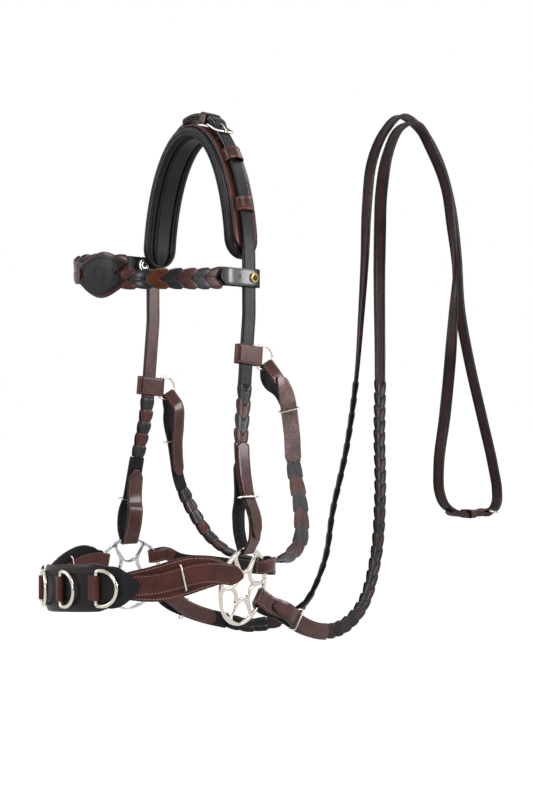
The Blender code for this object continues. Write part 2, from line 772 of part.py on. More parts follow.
STRAP_OFFSET = PAD_THICKNESS + FACING_THICKNESS + 2 * SEAT_GAP + CHEEK_THICKNESS / 2
LEG_X = ARCH_HALF_WIDTH + STRAP_OFFSET


def crown_rise(angle):
    """How much further out the straps lie near the crown, where the buckle chape fills the space."""
    return CROWN_LIFT * max(0.0, math.sin(math.radians(angle))) ** 6


def smooth_step(t):
    t = min(1.0, max(0.0, t))
    return t * t * (3 - 2 * t)


def pad_section(angle, narrow):
    """The pad's cushion section: flat on the strap side, crowned on the poll side with drawn-in edges."""
    base, _, out = arch_spot(angle, 0.0)
    half = PAD_WIDTH / 2 * narrow
    deep = PAD_THICKNESS
    side = ((1.0, 0.80), (1.0, 0.45), (0.86, 0.22), (0.55, 0.26), (0.42, 0.0))
    outline = [(-0.88, 1.0), *((-y, h) for y, h in side), *reversed(side), (0.88, 1.0)]
    return [base + Vector((0.0, y * half, 0.0)) + out * (h * deep) for y, h in outline]


def rounded_end(distance, half):
    """How wide a band is near its rounded end, as a share of its full width."""
    inside = min(1.0, max(0.0, distance) / half)
    return math.sqrt(max(0.03, 1 - (1 - inside) ** 2))


def arch_angles(first, last, steps):
    """Angles along the arch, closer together towards both ends."""
    shares = [0.5 - 0.5 * math.cos(math.pi * i / steps) for i in range(steps + 1)]
    return [first + (last - first) * (0.35 * share + 0.65 * i / steps) for i, share in enumerate(shares)]


def headpiece():
    """The padded liner and, on it, the stitched facing."""
    degree = ARCH_HEIGHT * math.pi / 180
    rings = []
    angles = arch_angles(*PAD_ENDS, 26)
    angles[13:14] = [90 - POLL_FLAT, 90 + POLL_FLAT]
    for angle in angles:
        distance = min(angle - PAD_ENDS[0], PAD_ENDS[1] - angle) * degree
        rings.append(pad_section(angle, rounded_end(distance + 0.001, PAD_WIDTH / 2)))
    loft("headpiece_pad", rings, black())
    rings = []
    height = PAD_THICKNESS + SEAT_GAP + FACING_THICKNESS / 2
    first, last = FACING_ENDS
    shared = [angle for angle in angles if first + 7 < angle < last - 7]
    for angle in [first, first + 1.2, first + 3.5, *shared, last - 3.5, last - 1.2, last]:
        point, _, out = arch_spot(angle, height)
        distance = min(angle - FACING_ENDS[0], FACING_ENDS[1] - angle) * degree
        width = FACING_WIDTH * rounded_end(distance + 0.001, FACING_WIDTH / 2)
        rings.append(section(point, Vector((0, 1, 0)), out, width, FACING_THICKNESS))
    loft("headpiece_facing", rings, brown())


def pad_keeper(name, angle):
    """A loop of strap over the cheek strap, its feet stitched to the facing."""
    point, _, out = arch_spot(angle, PAD_THICKNESS + FACING_THICKNESS + 2 * SEAT_GAP)
    top = crown_rise(angle) + CHEEK_THICKNESS + 2 * LOOP_GAP
    inner = CHEEK_WIDTH / 2 + LOOP_GAP
    outer = inner + KEEPER_WALL
    foot = outer + 0.0012
    outline = [(-foot, 0.0), (-inner, 0.0), (-inner, top), (inner, top), (inner, 0.0), (foot, 0.0)]
    outline += [(outer, 0.0015), (outer, top + KEEPER_WALL * 0.6), (inner - 0.001, top + KEEPER_WALL)]
    outline += [(-x, y) for x, y in reversed(outline[-3:])]
    plate(name, [outline], PAD_KEEPER_HEIGHT, brown(), point, (0, 1, 0), out)


# The cheeks, from the wheels up, and the strap over the head

def wheel_axes(side):
    """The wheel's up, front and outward directions, toed and leaned as it hangs."""
    toe = math.radians(WHEEL_TOE[side])
    lean = math.radians(WHEEL_LEAN[side])
    front = Vector((side * math.sin(toe), -math.cos(toe), 0.0))
    out = Vector((side * math.cos(toe), math.sin(toe), 0.0))
    return UP * math.cos(lean) + out * math.sin(lean), front, out * math.cos(lean) - UP * math.sin(lean)


def wheel_slot(side, clock_angle):
    """The middle of the rim at a slot, the outward radial there and the across direction of a strap
    that leaves it. The angle is in degrees from the top, towards the front."""
    up, front, out = wheel_axes(side)
    turn = math.radians(clock_angle)
    radial = up * math.cos(turn) + front * math.sin(turn)
    seat = Vector(WHEEL_CENTRE[side]) + radial * (WHEEL_RADIUS - RIM_WIDTH / 2)
    return seat, radial, out.cross(radial)


def slot_stops(side, clock_angle, skew=0.0, tuck=0.0, run=SLOT_RUN):
    """The first stops of a path that leaves a slot square to the rim, or turned by the skew within the
    wheel's plane and by the tuck towards the horse."""
    seat = wheel_slot(side, clock_angle)[0]
    _, leaving, across = wheel_slot(side, clock_angle + skew)
    tuck = math.radians(tuck)
    leaving = leaving * math.cos(tuck) - wheel_axes(side)[2] * math.sin(tuck)
    return [(seat + leaving * (run * share), across) for share in (0.0, 0.5, 1.0)]


def rim_seat(width, skew=0.0):
    """From the middle of the rim to its inner edge, at the far corner of a strap that crosses it askew,
    with play for the wheel to turn."""
    middle = WHEEL_RADIUS - RIM_WIDTH / 2
    inner = WHEEL_RADIUS - RIM_WIDTH
    half, turn = width / 2, math.radians(abs(skew))
    run = middle * math.cos(turn)
    corner = middle**2 + half**2 + 2 * middle * half * math.sin(turn) - inner**2
    return run - math.sqrt(run**2 - corner) + WHEEL_PLAY


def petal(turn):
    """One strap slot: broad along the rim, narrowing to a round inner end."""
    inner = WHEEL_RADIUS - RIM_WIDTH
    points = arc((0.0, 0.0), inner, 90 - PETAL_CORNER_ANGLE, 90 + PETAL_CORNER_ANGLE, 6)
    for angle in (90 - PETAL_CORNER_ANGLE, 90 + PETAL_CORNER_ANGLE):
        corner = arc((0.0, 0.0), inner - PETAL_CORNER, angle, angle, 1)[0]
        points += arc(corner, PETAL_CORNER, 0, 360, 10)[1:]
    points += arc((0.0, PETAL_CENTRE), PETAL_RADIUS, 0, 360, 18)[1:]
    outline = [points[i] for i in convex_hull_2d(points)]
    c, s = math.cos(math.radians(turn)), math.sin(math.radians(turn))
    return [(x * c - y * s, x * s + y * c) for x, y in outline]


def scalloped_centre():
    """The centre opening: an arc round each petal's web, meeting in eased cusps."""
    scallop = PETAL_RADIUS + WEB
    half_pitch = 180 / PETALS
    meet = math.degrees(math.acos(PETAL_CENTRE * math.sin(math.radians(half_pitch)) / scallop))
    spread = 90 - half_pitch - meet - CUSP_EASE
    outline = []
    for i in range(PETALS):
        turn = 90 + 2 * half_pitch * i
        middle = arc((0.0, 0.0), PETAL_CENTRE, turn, turn, 1)[0]
        outline += arc(middle, scallop, turn + 180 + spread, turn + 180 - spread, 5)
    return outline[::-1]


def wheel(side, label):
    """A round rim with six petal slots round a scalloped centre, all cut from one plate."""
    outside = arc((0.0, 0.0), WHEEL_RADIUS, 0, 360, 44)[:-1]
    slots = [petal(i * 360 / PETALS)[::-1] for i in range(PETALS)]
    up, front, _ = wheel_axes(side)
    plate(f"wheel_{label}", [outside, *slots, scalloped_centre()], WHEEL_THICKNESS, nickel(),
          Vector(WHEEL_CENTRE[side]), front, up, edge=WHEEL_EDGE)


def cheek_stops(side):
    """From the wheel's top slot up the plait and the cheek strap to the headpiece."""
    across = (0, -side, 0)
    end_x, end_y = PLAIT_END_OFFSET
    top_x, top_y = PLAIT_TOP_OFFSET
    stops = slot_stops(side, 0)
    stops.append(((side * (LEG_X + end_x), end_y, PLAIT_END_LEVEL[side]), across))
    drop = STRAP_BEND_LEVEL - PLAIT_TOP_LEVEL[side]
    for share in (1.12, 1.0, 0.75, 0.5, 0.25, 0.0):
        level = STRAP_BEND_LEVEL - drop * share
        stops.append(((side * (LEG_X + top_x * share), top_y * share, level), across))
    stops.append(((side * LEG_X, 0.0, 0.5 * (STRAP_BEND_LEVEL - ARCH_HEIGHT)), across))
    return stops


def head_route():
    """One path from the near wheel up over the poll and down to the far wheel."""
    arch = []
    for angle in range(0, 181, 10):
        arch.append((arch_spot(angle, STRAP_OFFSET + crown_rise(angle))[0], (0, -1, 0)))
    return Route(cheek_stops(NEAR) + arch + reversed_stops(cheek_stops(FAR)), per_span=6)


def head_straps(route):
    """The near strap, a billet at the crown, and the far strap, whose chape holds the crown buckle."""
    first = route.reaches(PLAIT_TOP_LEVEL[NEAR], 2) + SEAT_GAP
    last = route.reaches(PLAIT_TOP_LEVEL[FAR], 2, back=True) - SEAT_GAP
    buckled_straps("crown", ("cheek_strap_near", "crown_strap_far"), route, (first, last),
                   route.reaches(CROWN_HEEL_X, 0), (CHEEK_WIDTH, CHEEK_THICKNESS), CROWN_WIRE,
                   (CROWN_BUCKLE_WIDTH, CROWN_BUCKLE_LENGTH), BILLET_END, STRAP_STATION, black())


def cheek(side, label):
    """The folded adjuster on the wheel, and the plait above it."""
    route = Route(cheek_stops(side), per_span=6)
    length = route.reaches(PLAIT_END_LEVEL[side], 2) - SEAT_GAP
    adjuster(f"cheek_{label}", route, length, HANGER_WIDTH, rim_seat(HANGER_WIDTH), FOLD_BULGE, FOLD_REACH,
             FOLD_ROUND)
    top = route.reaches(PLAIT_TOP_LEVEL[side], 2)
    plait(f"cheek_plait_{label}", route, length + SEAT_GAP, top, CHEEK_PLAIT_UNITS[side],
          CHEEK_PLAIT_WIDTH, CHEEK_PLAIT_THICKNESS, brown())


# Jaw rings and the jaw strap

def keeper_frame(side):
    """The cheek strap's middle at the jaw keeper, and its upward and backward directions there."""
    route = Route(cheek_stops(side), per_span=6)
    point, tangent, across, _ = route.frame(route.reaches(JAW_KEEPER_LEVEL[side], 2))
    return point, tangent, -across * side


def jaw_keeper(side, label):
    """A sleeve round the cheek strap, with a bore behind it for the ring's bar."""
    point, up, back = keeper_frame(side)
    half = CHEEK_THICKNESS / 2 + JAW_KEEPER_PLAY
    wall = half + KEEPER_WALL
    bore = RING_WIRE + LOOP_GAP
    outside = rounded_box(-JAW_KEEPER_FRONT, -wall, JAW_RING_BAR_BACK + bore + KEEPER_WALL, wall, 0.0035, 3)
    reach = CHEEK_WIDTH / 2 + JAW_KEEPER_PLAY
    strap_hole = rounded_box(-reach, -half, reach, half, 0.0008, 1)
    bar_hole = arc((JAW_RING_BAR_BACK, 0.0), bore, 0, 360, 8)[:-1]
    plate(f"jaw_keeper_{label}", [outside, strap_hole[::-1], bar_hole[::-1]], JAW_KEEPER_HEIGHT, brown(),
          point, back, up.cross(back), edge=0.0006)


def d_outline(radius, straight, corner):
    """A D-ring's middle line: its bar at zero, and its bow to the right."""
    outline = arc((corner, corner - radius), corner, 180, 270, 2)
    outline += arc((straight, 0.0), radius, -90, 90, 10)
    outline += arc((corner, radius - corner), corner, 90, 180, 2)
    return outline


def jaw_ring(side, label):
    point, up, back = keeper_frame(side)
    bar = point + back * JAW_RING_BAR_BACK
    outline = d_outline(JAW_RING_RADIUS, JAW_RING_STRAIGHT, 0.0015)
    wire(f"jaw_ring_{label}", [bar + back * x + up * y for x, y in outline], RING_WIRE, nickel())


def jaw_swing_centre(side):
    point, _, back = keeper_frame(side)
    return point + back * (JAW_RING_BAR_BACK + JAW_RING_STRAIGHT)


def jaw_stops(side):
    """From the ring's bow down the adjuster and the plait to the middle of the jaw."""
    _, up, back = keeper_frame(side)
    turn = math.radians(JAW_HANG_ANGLE)
    radial = back * math.cos(turn) - up * math.sin(turn)
    seat = jaw_swing_centre(side) + radial * JAW_RING_RADIUS
    across = (0, side, 0)
    stops = [(seat + radial * run, across) for run in (0.0, 0.006, 0.012)]
    return stops + [((side * x, y, z), across) for x, y, z in JAW_PATH[side]]


def jaw_strap():
    meet = (0.0, *JAW_BOTTOM)
    whole = Route(jaw_stops(NEAR) + [(meet, (0, 1, 0))] + reversed_stops(jaw_stops(FAR)), per_span=6)
    drop = JAW_RING_RADIUS - math.sqrt(JAW_RING_RADIUS**2 - (JAW_HANGER_WIDTH / 2) ** 2)
    seat = RING_WIRE + drop + SEAT_GAP
    for side, label in ((NEAR, "near"), (FAR, "far")):
        route = whole if side == NEAR else Route(
            jaw_stops(FAR) + [(meet, (0, -1, 0))] + reversed_stops(jaw_stops(NEAR)), per_span=6)
        adjuster(f"jaw_{label}", route, JAW_ADJUSTER_LENGTH, JAW_HANGER_WIDTH, seat, JAW_BULGE, JAW_REACH,
                 JAW_FOLD_ROUND)
        middle = route.reaches(0.0, 0)
        plait(f"jaw_plait_{label}", route, JAW_ADJUSTER_LENGTH + SEAT_GAP, middle - JAW_CENTRE_HALF - SEAT_GAP,
              JAW_PLAIT_UNITS, JAW_PLAIT_WIDTH, JAW_PLAIT_THICKNESS, brown())
    middle = whole.reaches(0.0, 0)
    places = spread(middle - JAW_CENTRE_HALF, middle + JAW_CENTRE_HALF, 0.009)
    strap("jaw_strap_centre", whole, [(s, 0.0, 0.8 * CHEEK_WIDTH, CHEEK_THICKNESS) for s in places], black())
    pivot("jaw_strap_pivot", jaw_swing_centre(NEAR), JAW_STRAP_PIECES)


# Browband

def brow_spot(angle):
    """A point of the browband in plan, by its angle from the near side towards the front."""
    c, s = math.cos(math.radians(angle)), math.sin(math.radians(angle))
    power = 2 / BROW_SQUARENESS
    x = LEG_X * math.copysign(abs(c) ** power, c)
    rise = BROW_FAR_RISE * max(0.0, -x / LEG_X) ** 2
    return Vector((x, -BROW_DEPTH * s**power, BROW_LEVEL + rise))


def browband():
    across = (0, 0, -1)
    route = Route([(brow_spot(angle), across) for angle in BROW_ANGLES], per_span=5)
    centre = route.reaches(MEDALLION_CENTRE_X, 0)
    half = MEDALLION_LENGTH / 2
    near_end = route.reaches(TAB_FRONT, 1) + SEAT_GAP
    far_end = route.reaches(TAB_FRONT, 1, back=True) - SEAT_GAP
    plait("brow_plait_near", route, near_end, centre - half - SEAT_GAP, BROW_PLAIT_UNITS, BROW_PLAIT_WIDTH,
          BROW_PLAIT_THICKNESS, brown(), lead=-1)
    plait("brow_plait_far", route, centre + half + SEAT_GAP, far_end, BROW_PLAIT_UNITS, BROW_PLAIT_WIDTH,
          BROW_PLAIT_THICKNESS, brown())
    flange = [(-1.0, -0.40), (1.0, -0.40), (1.0, -0.10), (0.86, -0.06), (0.80, 0.36), (0.45, 0.50)]
    outline = flange + [(-c, h) for c, h in reversed(flange[2:])]
    rings = []
    for s in spread(centre - half, centre + half, 0.005):
        point, _, across_here, out = route.frame(s)
        swell = max(0.0, math.cos(math.pi / 2 * (s - centre) / half)) ** 1.15
        tall = (MEDALLION_ENDS + (MEDALLION_HEIGHT - MEDALLION_ENDS) * swell) / 2
        rings.append([point + across_here * (c * tall) + out * (h * MEDALLION_THICKNESS) for c, h in outline])
    loft("brow_medallion", rings, black())
    for side, label in ((NEAR, "near"), (FAR, "far")):
        brow_tab(side, label)
        brow_stud(side, label)
    pivot("browband_pivot", brow_spot(90), BROWBAND_PIECES)


def brow_tab(side, label):
    """The band's end, looped round the cheek strap. Its inner wall passes between strap and pad."""
    hole = CHEEK_THICKNESS / 2 + TAB_PLAY[side]
    reach = CHEEK_WIDTH / 2 + LOOP_GAP
    inner, outer = -(hole + TAB_INNER_WALL), hole + LAYER
    tail = TAIL_THICKNESS / 2
    back = TAB_BACK[side]
    outline = [
        (TAB_FRONT, -tail), (-reach - 0.0035, -tail), (-reach - 0.001, inner), (reach + 0.001, inner),
        (back - 0.003, -1.2 * LAYER), (back, 0.0), (back, outer - 0.001), (back - 0.001, outer),
        (-reach - 0.0045, outer), (-reach - 0.0052, tail), (TAB_FRONT, tail),
    ]
    opening = [(-reach, -hole), (reach, -hole), (reach, hole), (-reach, hole)]
    level = brow_spot(0 if side == NEAR else 180).z
    if side == FAR:
        outline, opening = outline[::-1], opening[::-1]
    turned = [[(y, side * x) for y, x in outline], [(y, side * x) for y, x in opening[::-1]]]
    place = (side * (LEG_X - TAB_SHIFT[side]), 0.0, level)
    plate(f"brow_tab_{label}", turned, BROW_STRAP, black(), place, (0, 1, 0), (1, 0, 0), edge=0.0005)


def brow_stud(side, label):
    """A turned snap stud: a flange, a waist and a domed cap."""
    level = brow_spot(0 if side == NEAR else 180).z
    if side == NEAR:
        face = LEG_X + CHEEK_THICKNESS / 2 + TAB_PLAY[side] + LAYER + SEAT_GAP
    else:
        face = -LEG_X + TAB_SHIFT[side] + TAIL_THICKNESS / 2 + SEAT_GAP
    out = OUTWARDS[NEAR]
    profile = (
        (1.0, 0.0), (1.0, 0.16), (0.72, 0.24), (0.72, 0.44),
        (0.92, 0.56), (0.92, 0.74), (0.62, 0.93), (0.2, 1.0),
    )
    rings = []
    for share, height in profile:
        ring = []
        for i in range(12):
            turn = math.tau * i / 12
            spot = Vector((0.0, math.cos(turn), math.sin(turn))) * (share * STUD_RADIUS)
            ring.append(Vector((face, STUD_OFFSET[side], level)) + spot + out * (height * STUD_HEIGHT))
        rings.append(ring)
    loft(f"brow_stud_{label}", rings, brass() if side == NEAR else nickel())


# Noseband and curb strap

def nose_spot(angle):
    """A point of the noseband in plan, by its angle from the near side towards the front."""
    c, s = math.cos(math.radians(angle)), math.sin(math.radians(angle))
    power = 2 / NOSE_SQUARENESS
    x = NOSE_HALF_WIDTH * math.copysign(abs(c) ** power, c)
    lift = NOSE_FAR_LIFT * max(0.0, (-x - NOSE_LIFT_FROM) / (NOSE_HALF_WIDTH - NOSE_LIFT_FROM)) ** 2
    return Vector((x, NOSE_BACK - NOSE_DEPTH * s**power, NOSE_LEVEL + NOSE_TILT * x + lift))


def nose_route(side):
    """From one wheel's slot round the nose to the other's."""
    front = [(nose_spot(angle), (0, 0, -1)) for angle in NOSE_ANGLES]
    ends = {}
    for end in (NEAR, FAR):
        ends[end] = slot_stops(end, NOSE_SLOT_ANGLE, NOSE_SLOT_SKEW, WHEEL_TOE[end] + NOSE_TUCK)
    stops = ends[NEAR] + front + reversed_stops(ends[FAR])
    return Route(stops if side == NEAR else reversed_stops(stops), per_span=6)


def nose_wing(side, label):
    """A broad folded strap through the wheel's slot, its billet past the fold, and its buckle."""
    route = nose_route(side)
    length = route.reaches(0.0, 0) - NOSE_PAD_REACH - SEAT_GAP
    rest = LAYER / 2 + 2 * SEAT_GAP
    face = NOSE_FOLD_HALF + LAYER / 2
    buckle = NOSE_BUCKLE_SHARE * length

    def height(s):
        return face + (rest - face) * smooth_step((s - 0.018) / 0.034)

    def width(s):
        swell = math.sin(math.pi * min(1.0, max(0.0, s) / length)) ** 0.75
        ends = NOSE_NECK_WIDTH + (NOSE_WING_END - NOSE_NECK_WIDTH) * max(0.0, s) / length
        return ends + (NOSE_WING_WIDTH - ends) * swell

    places = spread(length, NOSE_TWIST, NOSE_STATION)[:-1] + spread(NOSE_TWIST, 0.0, NOSE_STATION / 2)
    depth = NOSE_FOLD_DEPTH
    path = [Vector((s, height(s))) for s in places]
    path += [Vector((-depth + face, face)), Vector((-depth + 0.3 * face, 0.7 * face)), Vector((-depth, 0.0))]
    path += [Vector((s, -h)) for s, h in reversed(path[:-1]) if s < buckle + 0.016]
    wing = hanger(f"nose_wing_{label}", route, path, NOSE_NECK_WIDTH, None, brown(), widths=width)
    stack = LAYER + 2.6 * SEAT_GAP
    billet = [(s, height(s) + stack, NOSE_BILLET_WIDTH, LAYER) for s in places]
    for s, share in ((NOSE_BILLET_TIP + TIP_LENGTH, 1.0), (NOSE_BILLET_TIP + 0.4 * TIP_LENGTH, 0.66),
                     (NOSE_BILLET_TIP, 0.12)):
        billet.append((s, face + stack, NOSE_BILLET_WIDTH * share, LAYER))
    strap(f"nose_billet_{label}", route, billet, brown())
    low = -(height(buckle) + LAYER / 2)
    high = height(buckle) + stack + LAYER / 2
    wire_buckle(f"nose_buckle_{label}", route, buckle, NOSE_BILLET_WIDTH - 0.002, low, high)
    hole = BUCKLE_WIRE + LOOP_GAP
    side_wire = NOSE_BILLET_WIDTH / 2 - 0.001 + BUCKLE_OVERHANG
    for number, centre in enumerate((-side_wire, side_wire)):
        cutter = box_cutter(f"{label}_hole_{number}", route, buckle - hole, buckle + hole, centre, hole,
                            -0.0005, height(buckle) + 2 * LAYER)
        cut(wing, cutter)


def nose_pad():
    """The padded front, its ends tapered to points over the wings' ends."""
    route = nose_route(NEAR)
    middle = route.reaches(0.0, 0)
    rings = []
    for s in spread(middle - NOSE_PAD_REACH, middle + NOSE_PAD_REACH, 0.0088):
        point, _, across, out = route.frame(s)
        left = max(0.0, 1 - abs(s - middle) / NOSE_PAD_REACH)
        half = 0.5 * (NOSE_WING_END + (NOSE_PAD_HEIGHT - NOSE_WING_END) * min(1.0, left * 2.6) ** 0.7)
        deep = NOSE_PAD_THICKNESS * (0.55 + 0.45 * min(1.0, left * 4))
        edge = ((0.94, 0.30), (1.0, 0.05), (0.90, -0.25), (0.62, -0.55), (0.3, -0.68))
        outline = [(-w, h) for w, h in edge] + [(w, h) for w, h in reversed(edge)]
        rings.append([point + across * (w * half) + out * (h * deep) for w, h in outline])
    loft("nose_pad", rings, black())
    for label, along in NOSE_RING_PLACES.items():
        nose_ring(route, middle - along, label)


def nose_ring(route, place, label):
    """A D-ring on the pad's outer face, hung on a keeper whose leg is stitched to the pad."""
    point, tangent, _, _ = route.frame(place)
    tangent = Vector((tangent.x, tangent.y, 0.0)).normalized()
    out = tangent.cross(-UP)
    wrap = NOSE_RING_WIRE + LOOP_GAP + NOSE_KEEPER_WALL
    face = point + out * (0.30 * NOSE_PAD_THICKNESS + NOSE_KEEPER_LIFT)
    outline = arc((0.0, wrap), wrap, 0, 270, 9)
    outline += [(0.0105, 0.0), (0.0105, 0.0013), (0.0095, 0.0020), (wrap + 0.0006, 0.0022)]
    hole = arc((0.0, wrap), NOSE_RING_WIRE + LOOP_GAP, 0, 360, 10)[:-1]
    plate(f"nose_keeper_{label}", [outline, hole[::-1]], NOSE_KEEPER_HEIGHT, brown(), face, tangent, out)
    bar = face + out * wrap
    bow = d_outline(NOSE_RING_RADIUS, NOSE_RING_STRAIGHT, 0.003)
    points = [bar - tangent * x + UP * y for x, y in bow]
    wire(f"nose_ring_{label}", points, NOSE_RING_WIRE, nickel(), sides_step=2)
    pivot(f"nose_ring_{label}_pivot", bar, [f"nose_ring_{label}"])


def curb_strap():
    back = [((side * x, y, z), (0, 0, 1)) for side, x, y, z in CURB_PATH]
    ends = {side: slot_stops(side, CURB_SLOT_ANGLE, CURB_SLOT_SKEW) for side in (NEAR, FAR)}
    route = Route(ends[NEAR] + back + reversed_stops(ends[FAR]), per_span=6)
    rest = LAYER / 2 + SEAT_GAP / 2
    turn = [(CURB_RETURN, -rest), (0.020, -0.0024), (0.010, -CURB_BULGE)]
    turn += [tuple(spot) for spot in reversed(fold_turn(rim_seat(CURB_WIDTH, CURB_SLOT_SKEW), FOLD_ROUND))]
    turn += [(0.010, CURB_BULGE), (0.020, 0.0024)]
    run = [(s, rest) for s in spread(CURB_RETURN, route.length - CURB_RETURN, 0.012)]
    other = [(route.length - s, h) for s, h in turn]
    spots = turn + run + [other[i] for i in range(len(other) - 1, -1, -1)]
    strap("curb_strap", route, [(s, h, CURB_WIDTH, LAYER) for s, h in spots], brown())


# Reins

def rein_stops(side):
    """From the wheel's lower back slot up to the end of the plait."""
    points = [Vector((side * x, y, z)) for x, y, z in REIN_LOW[side]]
    clock, skew = REIN_SLOT[side]
    stops = slot_stops(side, clock, skew, run=0.011)
    for i, point in enumerate(points):
        twist = math.radians(REIN_TWIST[side]) * smooth_step((i - 2) / 4)
        out = Vector((side * math.cos(twist), -math.sin(twist), 0.0))
        tangent = points[min(i + 1, len(points) - 1)] - points[max(i - 1, 0)]
        stops.append((point, out.cross(tangent).normalized()))
    return stops


def rein_high_stops(side):
    """From the end of the plait over the peg and down. The near rein turns over on its way down."""
    points = [(side * x, y, z) for x, y, z in REIN_HIGH[side]]
    stops = []
    for i, point in enumerate(points):
        share = i / (len(points) - 1)
        twist = REIN_TWIST[side]
        turn = twist + min(1.0, share / 0.22) * (90 - twist)
        if side == NEAR:
            turn += 180 * smooth_step((share - 0.5) / 0.45)
        turn = math.radians(turn)
        stops.append((point, (-math.sin(turn), -side * math.cos(turn), 0.0)))
    return stops


def reins():
    near = rein_stops(NEAR) + rein_high_stops(NEAR)
    far = rein_stops(FAR) + rein_high_stops(FAR)
    turn = [(point, (-1, 0, 0)) for point in REIN_TURN]
    whole = Route(far + turn + reversed_stops(near), per_span=5)
    routes = {NEAR: Route(near, per_span=5), FAR: Route(far, per_span=5)}
    for side, label in ((NEAR, "near"), (FAR, "far")):
        route = routes[side]
        seat = rim_seat(REIN_HANGER_WIDTH, REIN_SLOT[side][1])
        adjuster(f"rein_{label}", route, REIN_ADJUSTER_LENGTH, REIN_HANGER_WIDTH, seat, FOLD_BULGE,
                 FOLD_REACH, FOLD_ROUND)
        top = first_rise(route, REIN_PLAIT_END[side])
        plait(f"rein_plait_{label}", route, REIN_ADJUSTER_LENGTH + SEAT_GAP, top - SEAT_GAP,
              REIN_PLAIT_UNITS[side], REIN_PLAIT_WIDTH, REIN_PLAIT_THICKNESS, brown())
    first = first_rise(whole, REIN_PLAIT_END[FAR])
    last = whole.length - first_rise(routes[NEAR], REIN_PLAIT_END[NEAR])
    heel = next(s for s in spread(0.5 * whole.length, 0.9 * whole.length, 0.0005)
                if whole.point(s).z < -0.47 and whole.point(s).y < REIN_HEEL_Y)
    buckled_straps("rein", ("rein_strap_far", "rein_strap_near"), whole, (first, last), heel,
                   (REIN_WIDTH, REIN_THICKNESS), REIN_WIRE, (REIN_BUCKLE_WIDTH, REIN_BUCKLE_LENGTH),
                   REIN_BILLET_END, REIN_STATION, brown())


def first_rise(route, level):
    """The first distance at which a path passes the level going up."""
    for i, (a, b) in enumerate(zip(route.line, route.line[1:])):
        if a.z < level <= b.z:
            return route.reach[i] + (route.reach[i + 1] - route.reach[i]) * (level - a.z) / (b.z - a.z)
    raise ValueError(f"the path never rises past {level}")


def build():
    headpiece()
    for side, label in ((NEAR, "near"), (FAR, "far")):
        for number, angle in enumerate(PAD_KEEPER_ANGLES, 1):
            pad_keeper(f"pad_keeper_{label}_{number}", angle if side == NEAR else 180 - angle)
        wheel(side, label)
        cheek(side, label)
        jaw_keeper(side, label)
        jaw_ring(side, label)
        nose_wing(side, label)
    head_straps(head_route())
    jaw_strap()
    browband()
    nose_pad()
    curb_strap()
    reins()


build()
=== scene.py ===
"""Hackamore bridle: its leather, plaits and metal fittings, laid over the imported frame.

Metres, +Z up, the horse's nose towards -Y and its near side towards +X. Every strap is modelled flat,
with x along it, y across it and z out of its grain side, and is then laid along the way it hangs.
"""

import logging
import math
from contextlib import contextmanager
from dataclasses import dataclass, field
from enum import Enum
from typing import Any, Callable, Iterable, Iterator, Sequence

import bpy
import numpy as np
from mathutils import Matrix, Vector
from mathutils.geometry import convex_hull_2d


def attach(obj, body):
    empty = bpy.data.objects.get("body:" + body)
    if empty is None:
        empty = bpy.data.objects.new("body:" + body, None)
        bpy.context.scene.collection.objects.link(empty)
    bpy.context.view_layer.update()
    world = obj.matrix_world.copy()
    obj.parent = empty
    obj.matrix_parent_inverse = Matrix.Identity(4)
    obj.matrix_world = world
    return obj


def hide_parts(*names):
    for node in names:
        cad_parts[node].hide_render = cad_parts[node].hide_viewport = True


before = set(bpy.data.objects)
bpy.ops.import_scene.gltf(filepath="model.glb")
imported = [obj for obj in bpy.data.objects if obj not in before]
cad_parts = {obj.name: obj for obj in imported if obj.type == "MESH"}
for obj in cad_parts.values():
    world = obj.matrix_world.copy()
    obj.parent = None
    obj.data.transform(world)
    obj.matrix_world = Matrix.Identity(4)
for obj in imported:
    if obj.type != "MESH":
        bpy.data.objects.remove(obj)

LOG = logging.getLogger("bridle")
RIGHT, BACK, UP = Vector((1.0, 0.0, 0.0)), Vector((0.0, 1.0, 0.0)), Vector((0.0, 0.0, 1.0))
GAP = 0.0003  # between straps that lie on each other
LOOP_GAP = 0.0006  # between a strap and the loop round it
LAYER = 0.0026  # one layer of strap leather
FOLD_ROUNDING = 0.0041  # how tightly a strap turns round a wheel's rim
BUCKLE_PLAY = 0.0035  # from a strap's edge to the middle of its wire buckle's side
BUCKLE_CORNER = 0.0025  # how round a wire buckle's corners are
DEE_RADIUS, DEE_STRAIGHT, DEE_BACK, DEE_WIRE = 0.0135, 0.0095, 0.0185, 0.0014  # the jaw strap's D-rings
Obj, Node, Tree = bpy.types.Object, bpy.types.Node, bpy.types.NodeTree
Pair = tuple[float, float]
Triple = tuple[float, float, float]
Stop = tuple[Vector, Vector]
Outline = Callable[[float], float]


class Side(Enum):
    """The horse's near (left) or far (right) side."""

    NEAR = 1
    FAR = -1

    @property
    def label(self) -> str:
        """The side's name as the frame's nodes have it."""
        return self.name.lower()


NEAR, FAR = Side


class Face(Enum):
    """Which side of a flat strap a row of stitches shows on."""

    GRAIN = 1
    FLESH = -1


def by_side(near: Any, far: Any) -> Any:
    """A field that holds one value for each side."""
    return field(default_factory=lambda: {NEAR: near, FAR: far})


def mm(*places: tuple[float, ...]) -> tuple[tuple[float, ...], ...]:
    """Turns places in millimetres into metres."""
    return tuple(tuple(value / 1000 for value in place) for place in places)


# Finishes


def linear(code: str) -> tuple[float, float, float, float]:
    """Turns an sRGB hex colour, "#rrggbb", into linear values with an alpha of 1."""
    shares = [int(code[i:i + 2], 16) / 255 for i in (1, 3, 5)]
    shares = [c / 12.92 if c <= 0.04045 else ((c + 0.055) / 1.055) ** 2.4 for c in shares]
    return (shares[0], shares[1], shares[2], 1.0)


